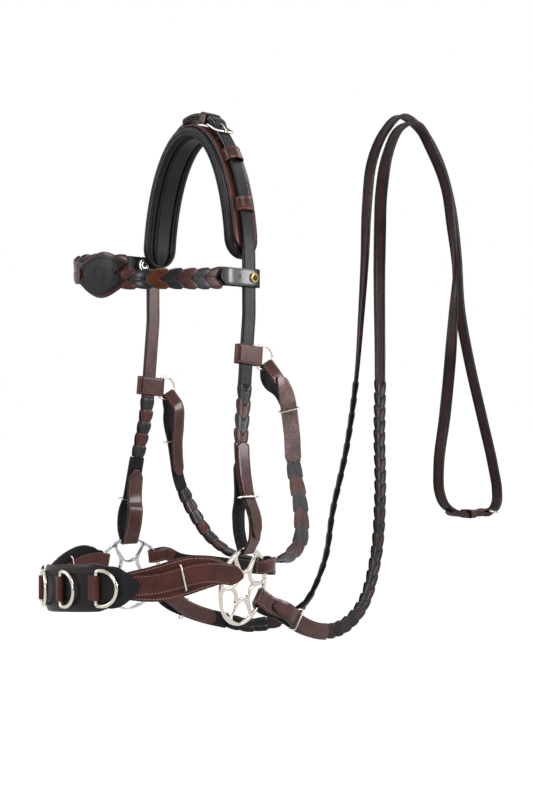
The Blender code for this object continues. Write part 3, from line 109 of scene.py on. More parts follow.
def set_node(node: Node, settings: dict, links: dict) -> Node:
    """Gives a node its settings and links.

    Args:
        node: The node.
        settings: Values by the name of an attribute or, failing that, of an input.
        links: By the name or number of an input, the socket that feeds it, or a node for its first output.

    Returns:
        The node.
    """
    for name, value in settings.items():
        if isinstance(name, str) and hasattr(node, name):
            setattr(node, name, value)
        else:
            node.inputs[name].default_value = value
    for name, source in links.items():
        socket = source.outputs[0] if isinstance(source, Node) else source
        node.id_data.links.new(socket, node.inputs[name])
    return node


def add_node(tree: Tree, kind: str, settings: dict | None = None, links: dict | None = None) -> Node:
    """Adds a shader node of a kind with its settings and links, as set_node takes them."""
    return set_node(tree.nodes.new(f"ShaderNode{kind}"), settings or {}, links or {})


def blank_material(name: str) -> tuple[bpy.types.Material, Tree, Node]:
    """A new material, its tree and its shader."""
    made = bpy.data.materials.new(name)
    made.use_nodes = True
    return made, made.node_tree, made.node_tree.nodes["Principled BSDF"]


@dataclass(frozen=True)
class Finish:
    """A finish, made when it is first asked for and found by its name after that."""

    name: str
    colour: str

    def make(self) -> bpy.types.Material:
        """Builds the material, or finds it."""
        found = bpy.data.materials.get(self.name)
        if found:
            return found
        made, tree, shader = blank_material(self.name)
        self.fill(tree, shader, add_node(tree, "TexCoord").outputs["Object"])
        return made

    def fill(self, tree: Tree, shader: Node, place: bpy.types.NodeSocket) -> None:
        """Adds the finish's own nodes, whose patterns read the object's place."""
        raise NotImplementedError


@dataclass(frozen=True)
class BridleLeather(Finish):
    """Vegetable-tanned, dyed and waxed hide: fine pores, cloudy colour and a soft, waxy sheen."""

    shade: str
    roughness: float = 0.42
    pore_mm: float = 0.9  # drawn coarser than real pores, which are too fine to show
    cloud_mm: float = 22.0
    depth: float = 0.35
    crease_mm: float = 0.0
    coat: float = 0.10
    relief_mm: float = 0.3
    specular: float = 0.10
    gloss: float = 0.22

    def fill(self, tree: Tree, shader: Node, place: bpy.types.NodeSocket) -> None:
        """Clouds the colour, darkens it in the pores and raises the grain."""
        cloud = add_node(tree, "TexNoise", {"Scale": 1000 / self.cloud_mm, "Detail": 3.0}, {"Vector": place})
        pores = add_node(tree, "TexVoronoi", {"Scale": 1000 / self.pore_mm}, {"Vector": place})
        wear = add_node(tree, "TexNoise", {"Scale": 1000 / (4 * self.pore_mm), "Detail": 4.0},
                        {"Vector": place})
        share = add_node(tree, "MapRange", {"From Min": 0.35, "From Max": 0.65}, {"Value": cloud})
        colour = add_node(tree, "Mix", {"data_type": "RGBA", 6: linear(self.shade), 7: linear(self.colour)},
                          {0: share})
        pit = add_node(tree, "MapRange", {"From Max": 0.35, "To Min": 0.80}, {"Value": pores})
        pitted = add_node(tree, "Mix", {"data_type": "RGBA", "blend_type": "MULTIPLY", 0: 1.0},
                          {6: colour.outputs[2], 7: pit})
        rough = add_node(tree, "MapRange", {"From Min": 0.3, "From Max": 0.7, "To Min": self.roughness - 0.07,
                                            "To Max": self.roughness + 0.10}, {"Value": wear})
        height = add_node(tree, "Math", {"operation": "MULTIPLY_ADD", 1: 0.6}, {0: pores, 2: wear})
        if self.crease_mm:
            height = self.creases(tree, height)
        bump = add_node(tree, "Bump", {"Strength": self.depth, "Distance": self.relief_mm / 1000},
                        {"Height": height})
        set_node(shader, {"IOR": 1.5, "Specular IOR Level": self.specular, "Coat Weight": self.coat,
                          "Coat Roughness": self.gloss},
                 {"Base Color": pitted.outputs[2], "Roughness": rough, "Normal": bump})

    def creases(self, tree: Tree, height: Node) -> Node:
        """Adds the fine creases across a strap that has been bent round a fold."""
        flat = add_node(tree, "UVMap").outputs["UV"]
        drawn = add_node(tree, "Mapping", {"Scale": (1.0, 0.07, 1.0)}, {"Vector": flat})
        ridges = add_node(tree, "TexNoise", {"Scale": 1000 / self.crease_mm, "Detail": 2.0},
                          {"Vector": drawn})
        return add_node(tree, "Math", {"operation": "MULTIPLY_ADD", 1: 2.2}, {0: ridges, 2: height})


@dataclass(frozen=True)
class PlatedMetal(Finish):
    """Polished metal, or a bright plate on steel: mirror-like, with faint buffing marks."""

    roughness: float = 0.14
    buff_mm: float = 3.0

    def fill(self, tree: Tree, shader: Node, place: bpy.types.NodeSocket) -> None:
        """Lets the buffing marks change the polish and, barely, the height."""
        marks = add_node(tree, "TexNoise", {"Scale": 1000 / self.buff_mm, "Detail": 5.0}, {"Vector": place})
        rough = add_node(tree, "MapRange", {"From Min": 0.3, "From Max": 0.7, "To Min": self.roughness - 0.03,
                                            "To Max": self.roughness + 0.06}, {"Value": marks})
        bump = add_node(tree, "Bump", {"Strength": 0.02, "Distance": 0.0002}, {"Height": marks})
        set_node(shader, {"Base Color": linear(self.colour), "Metallic": 1.0},
                 {"Roughness": rough, "Normal": bump})


@dataclass(frozen=True)
class WaxedThread(Finish):
    """Waxed linen thread: matt, with the twist of its plies."""

    ply_mm: float = 0.6

    def fill(self, tree: Tree, shader: Node, place: bpy.types.NodeSocket) -> None:
        """Raises the plies."""
        plies = add_node(tree, "TexNoise", {"Scale": 1000 / self.ply_mm}, {"Vector": place})
        bump = add_node(tree, "Bump", {"Strength": 0.4, "Distance": 0.0001}, {"Height": plies})
        set_node(shader, {"Base Color": linear(self.colour), "Roughness": 0.7}, {"Normal": bump})


# Brown and black bridle leather: an even, waxed grain. Where it is folded or worn it creases and gleams, and
# the worn finish's pale, pinkish colour is a painted sheen
BROWN = BridleLeather("brown_bridle_leather_grain", "#45221e", "#301613", 0.38, coat=0.2)
BROWN_FOLDED = BridleLeather("brown_bridle_leather_folded", "#412220", "#2e1713", 0.34, crease_mm=1.6,
                             coat=0.35, gloss=0.16)
BROWN_WORN_PAINTED_SHEEN = BridleLeather("brown_bridle_leather_worn", "#745250", "#4d302e", 0.42, depth=1.0, crease_mm=3.2,
                           coat=0.6, relief_mm=1.8, specular=0.5, gloss=0.3)
BLACK = BridleLeather("black_bridle_leather_grain", "#18181a", "#0f0f11", 0.40)
BLACK_FLESH = BridleLeather("black_flesh_side", "#1d1d1e", "#141414", 0.60, depth=0.6, coat=0.0)
# Burnished edges are dark and smooth, and a plait's freshly cut ones paler and duller
BROWN_EDGE = BridleLeather("brown_burnished_edge", "#2e1815", "#211210", 0.34, depth=0.15)
BROWN_CUT = BridleLeather("brown_cut_edge", "#4c2f29", "#3a221d", 0.45, depth=0.15)
BLACK_EDGE = BridleLeather("black_burnished_edge", "#161617", "#101011", 0.34, depth=0.15)
BLACK_CUT = BridleLeather("black_cut_edge", "#2c2c30", "#202023", 0.45, depth=0.15)
# Plait leather is softer and more polished, and most of all where hands reach it; there it is also drawn
# lighter, a painted sheen
RUSSET = BridleLeather("russet_plait_leather", "#4c2615", "#381a0e", 0.36, coat=0.2)
MAHOGANY = BridleLeather("mahogany_plait_leather", "#452522", "#301815", 0.34, coat=0.2)
BLACK_PLAIT = BridleLeather("black_plait_leather", "#232427", "#17171a", 0.34, coat=0.25)
BROWN_PAINTED_SHEEN_PLAIT = BridleLeather("brown_handled_plait_leather", "#573835", "#412624", 0.38, coat=0.6,
                              specular=0.4)
BLACK_PAINTED_SHEEN_PLAIT = BridleLeather("black_handled_plait_leather", "#34353a", "#232427", 0.36, coat=0.6,
                              specular=0.4)
# Rein leather is oiled, not waxed: darker and duller
REIN_BROWN = BridleLeather("oiled_brown_rein_leather", "#2a1817", "#1d100f", 0.38, coat=0.12)
REIN_BLACK = BridleLeather("oiled_black_rein_leather", "#141417", "#0d0d10", 0.38, coat=0.12)
REIN_GRAIN = BridleLeather("dull_brown_rein_leather", "#301c1b", "#231312", 0.50, coat=0.0)
# Pads and the panel are covered in soft black leather with a wide grain and little shine
PANEL_BLACK = BridleLeather("black_embossed_panel_leather", "#131315", "#0d0d0f", 0.46, coat=0.05)
SOFT_BLACK = BridleLeather("soft_black_lining_leather", "#19191c", "#111113", 0.38, pore_mm=1.3, depth=0.5)
NOSE_BLACK = BridleLeather("black_noseband_leather", "#1b191a", "#241514", 0.36, cloud_mm=30.0, depth=0.3,
                           coat=0.15)
# Plated steel and solid nickel silver shine like mirrors, the stamped stud less so
NICKEL = PlatedMetal("nickel_plated_steel", "#cdc5ba", 0.22, buff_mm=8.0)
STAMPED = PlatedMetal("stamped_nickel_stud", "#aaa59d", 0.36)
CHROME = PlatedMetal("polished_nickel_silver", "#c2c4c8", 0.12, buff_mm=8.0)
BRASS = PlatedMetal("polished_brass", "#b29655", 0.18)
BROWN_THREAD = WaxedThread("brown_waxed_thread", "#74544a")
PALE_THREAD = WaxedThread("tan_waxed_thread", "#8f7063")
BLACK_THREAD = WaxedThread("black_waxed_thread", "#17171a")


@dataclass(frozen=True)
class StrapFinish:
    """The finishes of a strap's grain side, flesh side and edges."""

    grain: BridleLeather
    flesh: BridleLeather
    edge: BridleLeather


BROWN_STRAP = StrapFinish(BROWN, BLACK_FLESH, BROWN_EDGE)
BROWN_BOTH = StrapFinish(BROWN, BROWN, BROWN_EDGE)
REIN_STRAP = StrapFinish(REIN_GRAIN, REIN_GRAIN, BROWN_EDGE)
FOLDED_STRAP = StrapFinish(BROWN_FOLDED, BLACK_FLESH, BROWN_EDGE)
# Its grain finish is drawn pale and pinkish: a painted sheen
WORN_PAINTED_SHEEN_STRAP = StrapFinish(BROWN_WORN_PAINTED_SHEEN, BLACK_FLESH, BROWN_EDGE)
BLACK_STRAP = StrapFinish(BLACK, BROWN, BLACK_EDGE)
BLACK_BOTH = StrapFinish(BLACK, BLACK_FLESH, BLACK_EDGE)
BLACK_FACED = StrapFinish(BLACK, BLACK, BLACK_EDGE)


# Ways in space


def clamp(t: float) -> float:
    """Keeps a share between 0 and 1."""
    return min(1.0, max(0.0, t))


def smooth_step(t: float) -> float:
    """Eases from 0 to 1."""
    t = clamp(t)
    return t * t * (3 - 2 * t)


def cos_sin(degrees: float) -> Pair:
    """The cosine and the sine of an angle in degrees."""
    return math.cos(math.radians(degrees)), math.sin(math.radians(degrees))


def turned(degrees: float, first: Vector, second: Vector) -> Vector:
    """The direction that lies an angle away from the first, towards the second."""
    c, s = cos_sin(degrees)
    return first * c + second * s


def bowed(angle: float, half_width: float, depth: float, squareness: float) -> Pair:
    """Where a band round the head passes in plan, and how far forward, by the angle from its near end."""
    c, s = cos_sin(angle)
    return half_width * math.copysign(abs(c) ** (2 / squareness), c), depth * s ** (2 / squareness)


def smooth_line(points: Sequence[Vector], per_span: int,
                spans: Sequence[float] | None = None) -> list[Vector]:
    """Draws a smooth curve through points. It bends least where they lie close.

    Args:
        points: The points.
        per_span: How many steps each span gets.
        spans: The spans' lengths, if not those between the points.

    Returns:
        The curve's points.
    """
    spans = spans or [max(1e-6, (b - a).length) for a, b in zip(points, points[1:])]
    slopes = [(b - a) / span for a, b, span in zip(points, points[1:], spans)]
    tangents = [slopes[0]]
    for i in range(1, len(slopes)):
        tangents.append((slopes[i - 1] * spans[i] + slopes[i] * spans[i - 1]) / (spans[i - 1] + spans[i]))
    tangents.append(slopes[-1])
    line = []
    for i, span in enumerate(spans):
        for step in range(per_span):
            t = step / per_span
            line.append(points[i] * (1 - 3 * t**2 + 2 * t**3) + points[i + 1] * (3 * t**2 - 2 * t**3)
                        + tangents[i] * (span * (t - 2 * t**2 + t**3))
                        + tangents[i + 1] * (span * (t**3 - t**2)))
    line.append(points[-1].copy())
    return line


def smooth_spots(spots: Sequence[Pair], per_span: int) -> list[Pair]:
    """Draws a smooth curve through spots in a plane."""
    return [tuple(spot) for spot in smooth_line([Vector(spot) for spot in spots], per_span)]


class Route:
    """The way that a strap hangs: a smooth path with an across direction at each point."""

    def __init__(self, stops: Sequence[Stop], per_span: int = 6) -> None:
        """Draws the route.

        Args:
            stops: Points and the across direction at each.
            per_span: How many steps each span gets.
        """
        points = [Vector(point) for point, _ in stops]
        spans = [(b - a).length for a, b in zip(points, points[1:])]
        self.line = smooth_line(points, per_span, spans)
        self.across = smooth_line([Vector(across).normalized() for _, across in stops], per_span, spans)
        self.reach = [0.0]
        for a, b in zip(self.line, self.line[1:]):
            self.reach.append(self.reach[-1] + (b - a).length)
        self.length = self.reach[-1]

    def place(self, values: Sequence[Vector], s: float) -> Vector:
        """Reads a value, one of which belongs to each point, at a distance, straight on past either end."""
        i = max(1, next((i for i, reach in enumerate(self.reach) if reach >= s), len(self.reach) - 1))
        share = (s - self.reach[i - 1]) / (self.reach[i] - self.reach[i - 1])
        return values[i - 1] + (values[i] - values[i - 1]) * share

    def frame(self, s: float) -> tuple[Vector, Vector, Vector, Vector]:
        """The point at a distance, and the directions along, across and out of the grain side there."""
        step = 0.001
        tangent = (self.place(self.line, s + step) - self.place(self.line, s - step)).normalized()
        across = self.place(self.across, min(self.length, max(0.0, s)))
        across = (across - tangent * across.dot(tangent)).normalized()
        return self.place(self.line, s), tangent, across, tangent.cross(across)

    def reaches(self, value: float, axis: int, back: bool = False, rising: bool = False) -> float:
        """Finds where a coordinate passes a value.

        Args:
            value: The value.
            axis: 0, 1 or 2 for x, y or z.
            back: Whether to search from the far end.
            rising: Whether the coordinate has to be growing there.

        Returns:
            The distance.
        """
        order = range(len(self.line) - 1)
        for i in reversed(order) if back else order:
            a, b = self.line[i][axis], self.line[i + 1][axis]
            if a < value <= b if rising else min(a, b) <= value <= max(a, b) and a != b:
                return self.reach[i] + (self.reach[i + 1] - self.reach[i]) * (value - a) / (b - a)
        raise ValueError(f"the path never passes {value}")


def reversed_stops(stops: Sequence[Stop]) -> list[Stop]:
    """The same path walked the other way, with the same outward side."""
    return [(point, -Vector(across)) for point, across in reversed(stops)]


def spread(first: float, last: float, step: float) -> list[float]:
    """Distances from the first to the last, about a step apart."""
    count = max(1, math.ceil(abs(last - first) / step))
    return [first + (last - first) * i / count for i in range(count + 1)]


def arc(centre: Pair, radius: float, start: float, end: float, steps: int) -> list[Pair]:
    """Points of an arc in a plane, by its start and end angles in degrees."""
    turns = [math.radians(start + (end - start) * i / steps) for i in range(steps + 1)]
    return [(centre[0] + radius * math.cos(turn), centre[1] + radius * math.sin(turn)) for turn in turns]


def circle(radius: float, steps: int) -> list[Pair]:
    """Points of a circle round the origin."""
    return arc((0, 0), radius, 0, 360, steps)[:-1]


def rounded_box(left: float, bottom: float, right: float, top: float, corner: float,
                steps: int = 5) -> list[Pair]:
    """The outline of a box with rounded corners, anticlockwise from its lower right."""
    outline: list[Pair] = []
    for x, y, start in ((right - corner, bottom + corner, -90), (right - corner, top - corner, 0),
                        (left + corner, top - corner, 90), (left + corner, bottom + corner, 180)):
        outline += arc((x, y), corner, start, start + 90, steps)
    return outline


def d_outline(radius: float, straight: float, corner: float) -> list[Pair]:
    """A D-ring's middle line: its bar at zero, and its bow to the right."""
    return (arc((corner, corner - radius), corner, 180, 270, 4) + arc((straight, 0.0), radius, -90, 90, 28)
            + arc((corner, radius - corner), corner, 90, 180, 4))


def half_turn(end: float, rounding: float) -> list[Pair]:
    """Spots of the half round by which a strap turns back on itself, from its far side to its near one."""
    eased, side = rounding * (1 - math.sqrt(0.5)), rounding * math.sqrt(0.5)
    return [(end + rounding, rounding), (end + eased, side), (end, 0.0), (end + eased, -side),
            (end + rounding, -rounding)]


def in_plane(origin: Vector, right: Vector, up: Vector, outline: Iterable[Pair]) -> list[Vector]:
    """Puts an outline's spots in a plane in space."""
    return [origin + right * x + up * y for x, y in outline]


def matrix_of(origin: Vector, x: Vector, y: Vector, z: Vector) -> Matrix:
    """The matrix that takes a shape from the origin's axes to others elsewhere."""
    turn = Matrix.Identity(3)
    turn.col[0], turn.col[1], turn.col[2] = x, y, z
    return Matrix.Translation(origin) @ turn.to_4x4()


class Lay:
    """How a flat piece lies in space: its flat x runs along, y across and z out of the lay."""

    def __init__(self, points: Sequence[Vector], across: Sequence[Vector], up: Sequence[Vector]) -> None:
        """Keeps the frames.

        Args:
            points: Where the flat piece's middle line goes.
            across: The direction of flat y at each point.
            up: The direction of flat z at each point.
        """
        self.points, self.across, self.up = (np.array([tuple(v) for v in rows])
                                             for rows in (points, across, up))
        steps = np.linalg.norm(np.diff(self.points, axis=0), axis=1)
        self.reach = np.concatenate([[0.0], np.cumsum(steps)])
        self.length = float(self.reach[-1])

    @classmethod
    def along(cls, route: Route, path: Sequence[Pair], flip: bool = False) -> "Lay":
        """Lays a piece beside a route.

        Args:
            route: The route.
            path: (distance, height) spots beside it, in order.
            flip: Whether flat z points to the other side.

        Returns:
            The lay.
        """
        spots = [Vector(spot) for spot in path]
        turn = -1.0 if flip else 1.0
        points, acrosses, ups = [], [], []
        for i, spot in enumerate(spots):
            way = (spots[min(i + 1, len(spots) - 1)] - spots[max(i - 1, 0)]).normalized()
            point, tangent, across, out = route.frame(spot.x)
            points.append(point + out * spot.y)
            acrosses.append(across * turn)
            ups.append((out * way.x - tangent * way.y) * turn)
        return cls(points, acrosses, ups)

    @classmethod
    def level(cls, route: Route, first: float, last: float, step: float = 0.002, flip: bool = False) -> "Lay":
        """Lays a piece on a route itself, from a first distance to a last."""
        return cls.along(route, [(s, 0.0) for s in spread(first, last, step)], flip)

    @classmethod
    def round(cls, centre: Vector, right: Vector, up: Vector, outline: Sequence[Pair], closed: bool = True,
              inward: bool = False) -> "Lay":
        """Lays a piece round an outline in a plane, with its grain side outwards.

        Args:
            centre: The outline's origin.
            right: The direction of the outline's x.
            up: The direction of the outline's y.
            outline: Its points, anticlockwise.
            closed: Whether it comes back to its start.
            inward: Whether the grain side faces inwards instead.

        Returns:
            The lay.
        """
        spots = [Vector(spot) for spot in outline] + ([Vector(outline[0])] if closed else [])
        turn = -1.0 if inward else 1.0
        ups = []
        for i in range(len(spots)):
            before = spots[i - 1] if i else (spots[-2] if closed else spots[0])
            after = spots[i + 1] if i + 1 < len(spots) else (spots[1] if closed else spots[-1])
            way = (after - before).normalized()
            ups.append((right * way.y - up * way.x) * turn)
        return cls(in_plane(centre, right, up, spots), [right.cross(up)] * len(spots), ups)

    def wrap(self, obj: Obj) -> None:
        """Moves a flat piece's points, whose x is the distance along the lay, to where they lie."""
        flat = coordinates(obj.data)
        u = flat[:, 0]
        inside = np.clip(u, 0.0, self.length)
        columns = [np.stack([np.interp(inside, self.reach, rows[:, k]) for k in range(3)], axis=1)
                   for rows in (self.points, self.across, self.up)]
        ends = np.where(u < 0, 0, len(self.reach) - 2)
        step = self.points[ends + 1] - self.points[ends]
        step /= np.linalg.norm(step, axis=1)[:, None]
        for k in (1, 2):
            columns[k] /= np.linalg.norm(columns[k], axis=1)[:, None]
        laid = (columns[0] + step * (u - inside)[:, None] + columns[1] * flat[:, 1:2]
                + columns[2] * flat[:, 2:3])
        obj.data.vertices.foreach_set("co", laid.reshape(-1))
        obj.data.update()


# Bench work: each function makes or changes one piece, as by hand


def coordinates(mesh: bpy.types.Mesh) -> np.ndarray:
    """A mesh's points, one to a row."""
    flat = np.empty(len(mesh.vertices) * 3)
    mesh.vertices.foreach_get("co", flat)
    return flat.reshape(-1, 3)


def clear_selection() -> None:
    """Leaves object mode with nothing selected."""
    if bpy.context.mode != "OBJECT":
        bpy.ops.object.mode_set(mode="OBJECT")
    bpy.ops.object.select_all(action="DESELECT")


def take(obj: Obj) -> None:
    """Selects one object alone and makes it active."""
    clear_selection()
    obj.select_set(True)
    bpy.context.view_layer.objects.active = obj


@contextmanager
def editing(obj: Obj) -> Iterator[None]:
    """Opens an object in edit mode with all of it selected, and closes it again."""
    take(obj)
    bpy.ops.object.mode_set(mode="EDIT")
    bpy.ops.mesh.select_all(action="SELECT")
    yield
    bpy.ops.object.mode_set(mode="OBJECT")


def dress(obj: Obj, *finishes: Finish) -> None:
    """Gives an object its finishes and nothing else."""
    obj.data.materials.clear()
    for finish in finishes:
        obj.data.materials.append(finish.make())


def rename(obj: Obj, name: str) -> Obj:
    """Names an object and its mesh."""
    obj.name = obj.data.name = name
    return obj


def flat_map(obj: Obj) -> None:
    """Gives a flat piece a UV map that is its own flat x and y, in metres."""
    mesh = obj.data
    layer = mesh.uv_layers[0] if mesh.uv_layers else mesh.uv_layers.new(name="UVMap")
    corners = np.empty(len(mesh.loops), dtype=np.int32)
    mesh.loops.foreach_get("vertex_index", corners)
    layer.data.foreach_set("uv", coordinates(mesh)[corners, :2].reshape(-1))


def raise_plate(obj: Obj, thickness: float, ease: float) -> None:
    """Raises a flat drawing to a plate of that thickness and eases its sharp edges by that much."""
    with editing(obj):
        bpy.ops.mesh.extrude_region_move(TRANSFORM_OT_translate={"value": (0, 0, thickness)})
        bpy.ops.mesh.select_all(action="SELECT")
        bpy.ops.mesh.normals_make_consistent(inside=False)
        bpy.ops.mesh.select_all(action="DESELECT")
        bpy.ops.mesh.select_mode(type="EDGE")
        bpy.ops.mesh.edges_select_sharp(sharpness=math.radians(60))
        bpy.ops.mesh.bevel(offset=ease, segments=2, affect="EDGES", clamp_overlap=False)


def joined(name: str, parts: Sequence[Obj]) -> Obj:
    """Joins several objects into one piece of that name."""
    take(parts[0])
    for part in parts:
        part.select_set(True)
    if len(parts) > 1:
        bpy.ops.object.join()
    return rename(parts[0], name)


def settle(obj: Obj, body: str, nodes: Iterable[str] = (), angle: float = 45.0) -> None:
    """Finishes a piece: turns its faces outwards, smooths it and fixes it to its body.

    Args:
        obj: The piece, in place.
        body: The body that it rides on.
        nodes: The frame's nodes that it stands for.
        angle: Edges sharper than this stay sharp.
    """
    with editing(obj):
        bpy.ops.mesh.normals_make_consistent(inside=False)
    bpy.ops.object.shade_smooth_by_angle(angle=math.radians(angle))
    if nodes:
        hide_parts(*nodes)
    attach(obj, body)
    LOG.info("%s: %d faces", obj.name, len(obj.data.polygons))


def stitches(first: float, last: float, row: float, height: float, thread: WaxedThread,
             face: Face = Face.GRAIN, pitch: float = 0.0033) -> Obj:
    """Sews two flat rows of stitches.

    Args:
        first: Flat x of the first stitch.
        last: Flat x of the last.
        row: How far each row is from the middle line.
        height: How far the strap's surface is from its middle.
        thread: The thread.
        face: The side that the rows show on.
        pitch: From one stitch to the next.

    Returns:
        The flat rows.
    """
    gauge = 0.0005
    made = []
    for y in (-row, row):
        clear_selection()
        bpy.ops.mesh.primitive_uv_sphere_add(segments=6, ring_count=4, radius=1.0,
                                             location=(first + pitch / 2, y, face.value * height),
                                             scale=(0.37 * pitch, gauge, 0.75 * gauge))
        obj = bpy.context.object
        bpy.ops.object.transform_apply(location=True, rotation=True, scale=True)
        array = obj.modifiers.new("row", "ARRAY")
        array.use_relative_offset, array.use_constant_offset = False, True
        array.constant_offset_displace = (pitch, 0, 0)
        array.count = max(1, int((last - first) / pitch))
        bpy.ops.object.modifier_apply(modifier=array.name)
        made.append(obj)
    seam = joined("seam", made)
    dress(seam, thread)
    flat_map(seam)
    return seam


def edge_stitches(edge: Outline, *seam_values: Any) -> Obj:
    """Sews two rows that follow a strap's curved edges.

    Args:
        edge: The rows' distance from the middle line by flat x.
        seam_values: What stitches takes, with rows at a distance of 1.

    Returns:
        The flat rows.
    """
    seam = stitches(*seam_values)
    for v in seam.data.vertices:
        row = math.copysign(1.0, v.co.y)
        v.co.y = v.co.y - row + row * edge(v.co.x)
    return seam


def wire_piece(name: str, points: Sequence[Vector], radius: float, nodes: Iterable[str] = (),
               body: str = "bridle", finish: Finish = NICKEL, lay: Lay | None = None,
               closed: bool = True, sides: int = 4) -> None:
    """Bends a round wire: a ring of points drawn to its way, turned into a curve and given its gauge.

    Args:
        name: The piece's name.
        points: The wire's middle line.
        radius: Half the gauge.
        nodes: The frame's nodes that it stands for.
        body: The body that it rides on.
        finish: Its finish.
        lay: Where it lies, if its points are flat.
        closed: Whether its ends meet.
        sides: How many steps a quarter of its section has.
    """
    clear_selection()
    bpy.ops.mesh.primitive_circle_add(vertices=len(points), radius=1.0, fill_type="NOTHING")
    obj = bpy.context.object
    for v, point in zip(obj.data.vertices, points):
        v.co = point
    if not closed:
        bpy.ops.object.mode_set(mode="EDIT")
        bpy.ops.mesh.select_all(action="DESELECT")
        bpy.ops.mesh.select_mode(type="EDGE")
        bpy.ops.object.mode_set(mode="OBJECT")
        for edge in obj.data.edges:
            edge.select = set(edge.vertices) == {0, len(points) - 1}
        bpy.ops.object.mode_set(mode="EDIT")
        bpy.ops.mesh.delete(type="EDGE_FACE")
        bpy.ops.object.mode_set(mode="OBJECT")
    bpy.ops.object.convert(target="CURVE")
    obj = bpy.context.object
    obj.data.bevel_depth, obj.data.bevel_resolution = radius, sides
    obj.data.use_fill_caps = not closed
    bpy.ops.object.convert(target="MESH")
    obj = rename(bpy.context.object, name)
    dress(obj, finish)
    if lay:
        lay.wrap(obj)
    settle(obj, body, nodes)


def tapered(first: float, last: float, half: float, tips: Pair = (0.0, 0.0), point: float = 0.12) -> Outline:
    """The outline of a strap whose ends may be cut to rounded points.

    Args:
        first: Flat x of its start.
        last: Flat x of its end.
        half: Its half width.
        tips: The length of the point at its start and at its end, or 0 for a square end.
        point: How wide the very tip is, as a share.

    Returns:
        The half width by flat x.
    """
    def share(inside: float, tip: float) -> float:
        """How much of the width is left this far from an end."""
        if tip <= 0 or inside >= tip:
            return 1.0
        return point + (1 - point) * math.sin(math.pi / 2 * max(0.0, inside / tip)) ** 0.8

    return lambda u: half * share(u - first, tips[0]) * share(last - u, tips[1])


def round_ended(length: float, half: float) -> Outline:
    """The half width of a band with round ends, by flat x."""
    def width(u: float) -> float:
        """The half width at one place."""
        inside = min(1.0, max(0.0, min(u, length - u)) / half)
        return half * math.sqrt(max(0.006, 1 - (1 - inside) ** 2))
    return width


def round_stations(length: float, half: float, step: float) -> list[float]:
    """Columns along a band, closer together along its round ends."""
    ends = [half * (1 - math.cos(math.pi / 2 * i / 12)) for i in range(12)]
    return ends + spread(half, length - half, step) + [length - e for e in reversed(ends)]


def end_stations(first: float, last: float, step: float, tips: Pair) -> list[float]:
    """Columns along a strap, closer together along its pointed ends."""
    fine = 0.0012
    start = spread(first, first + tips[0], fine)[:-1] if tips[0] else []
    end = spread(last - tips[1], last, fine)[1:] if tips[1] else []
    return start + spread(first + tips[0], last - tips[1], step) + end


@dataclass
class Strap:
    """A flat strap on the bench, and what is sewn to it, until it is laid in place."""

    name: str
    lay: Lay
    half: float | Outline
    thickness: float
    finish: StrapFinish
    step: float = 0.0020
    tips: Pair = (0.0, 0.0)
    point: float = 0.12
    cells: int = 6
    stations: Sequence[float] = ()
    thick: Outline | None = None
    parts: list[Obj] = field(default_factory=list)

    def cut(self) -> Obj:
        """Cuts the strap, once: a grid drawn to its outline, raised to its thickness, its edges eased."""
        if self.parts:
            return self.parts[0]
        length = self.lay.length
        half = self.half if callable(self.half) else tapered(0.0, length, self.half, self.tips, self.point)
        stations = self.stations or end_stations(0.0, length, self.step, self.tips)
        clear_selection()
        bpy.ops.mesh.primitive_grid_add(x_subdivisions=len(stations) - 1, y_subdivisions=self.cells, size=2.0,
                                        location=(0, 0, 0))
        obj = rename(bpy.context.object, self.name)
        columns = len({round(v.co.x, 5) for v in obj.data.vertices}) - 1
        for v in obj.data.vertices:
            u = stations[round((v.co.x + 1) / 2 * columns)]
            v.co = (u, v.co.y * half(u), -self.thickness / 2)
        raise_plate(obj, self.thickness, min(0.0007, 0.28 * self.thickness))
        dress(obj, self.finish.grain, self.finish.flesh, self.finish.edge)
        for face in obj.data.polygons:
            face.material_index = 0 if face.normal.z > 0.6 else 1 if face.normal.z < -0.6 else 2
        flat_map(obj)
        if self.thick:
            for v in obj.data.vertices:
                v.co.z *= self.thick(v.co.x) / self.thickness
        self.parts.append(obj)
        return obj

    def sew(self, start: float, end: float, row: float, thread: WaxedThread,
            face: Face = Face.GRAIN) -> "Strap":
        """Sews a row of stitches along each edge.

        Args:
            start: From the strap's start to the first stitch.
            end: From the last stitch to its end.
            row: From its middle line to each row.
            thread: The thread.
            face: The side that the rows show on.

        Returns:
            The strap.
        """
        self.cut()
        self.parts.append(stitches(start, self.lay.length - end, row, self.thickness / 2, thread, face))
        return self

    def place(self, *nodes: str, body: str = "bridle", slot: str = "brown_leather",
              angle: float = 45.0) -> Obj:
        """Joins the strap with all that is sewn to it, lays it and settles it.

        Args:
            nodes: The frame's nodes that it stands for.
            body: The body that it rides on.
            slot: A material slot's name; not used.
            angle: Edges sharper than this stay sharp.

        Returns:
            The piece in place.
        """
        self.cut()
        piece = joined(self.name, self.parts)
        self.lay.wrap(piece)
        settle(piece, body, nodes, angle)
        return piece


# Plaits


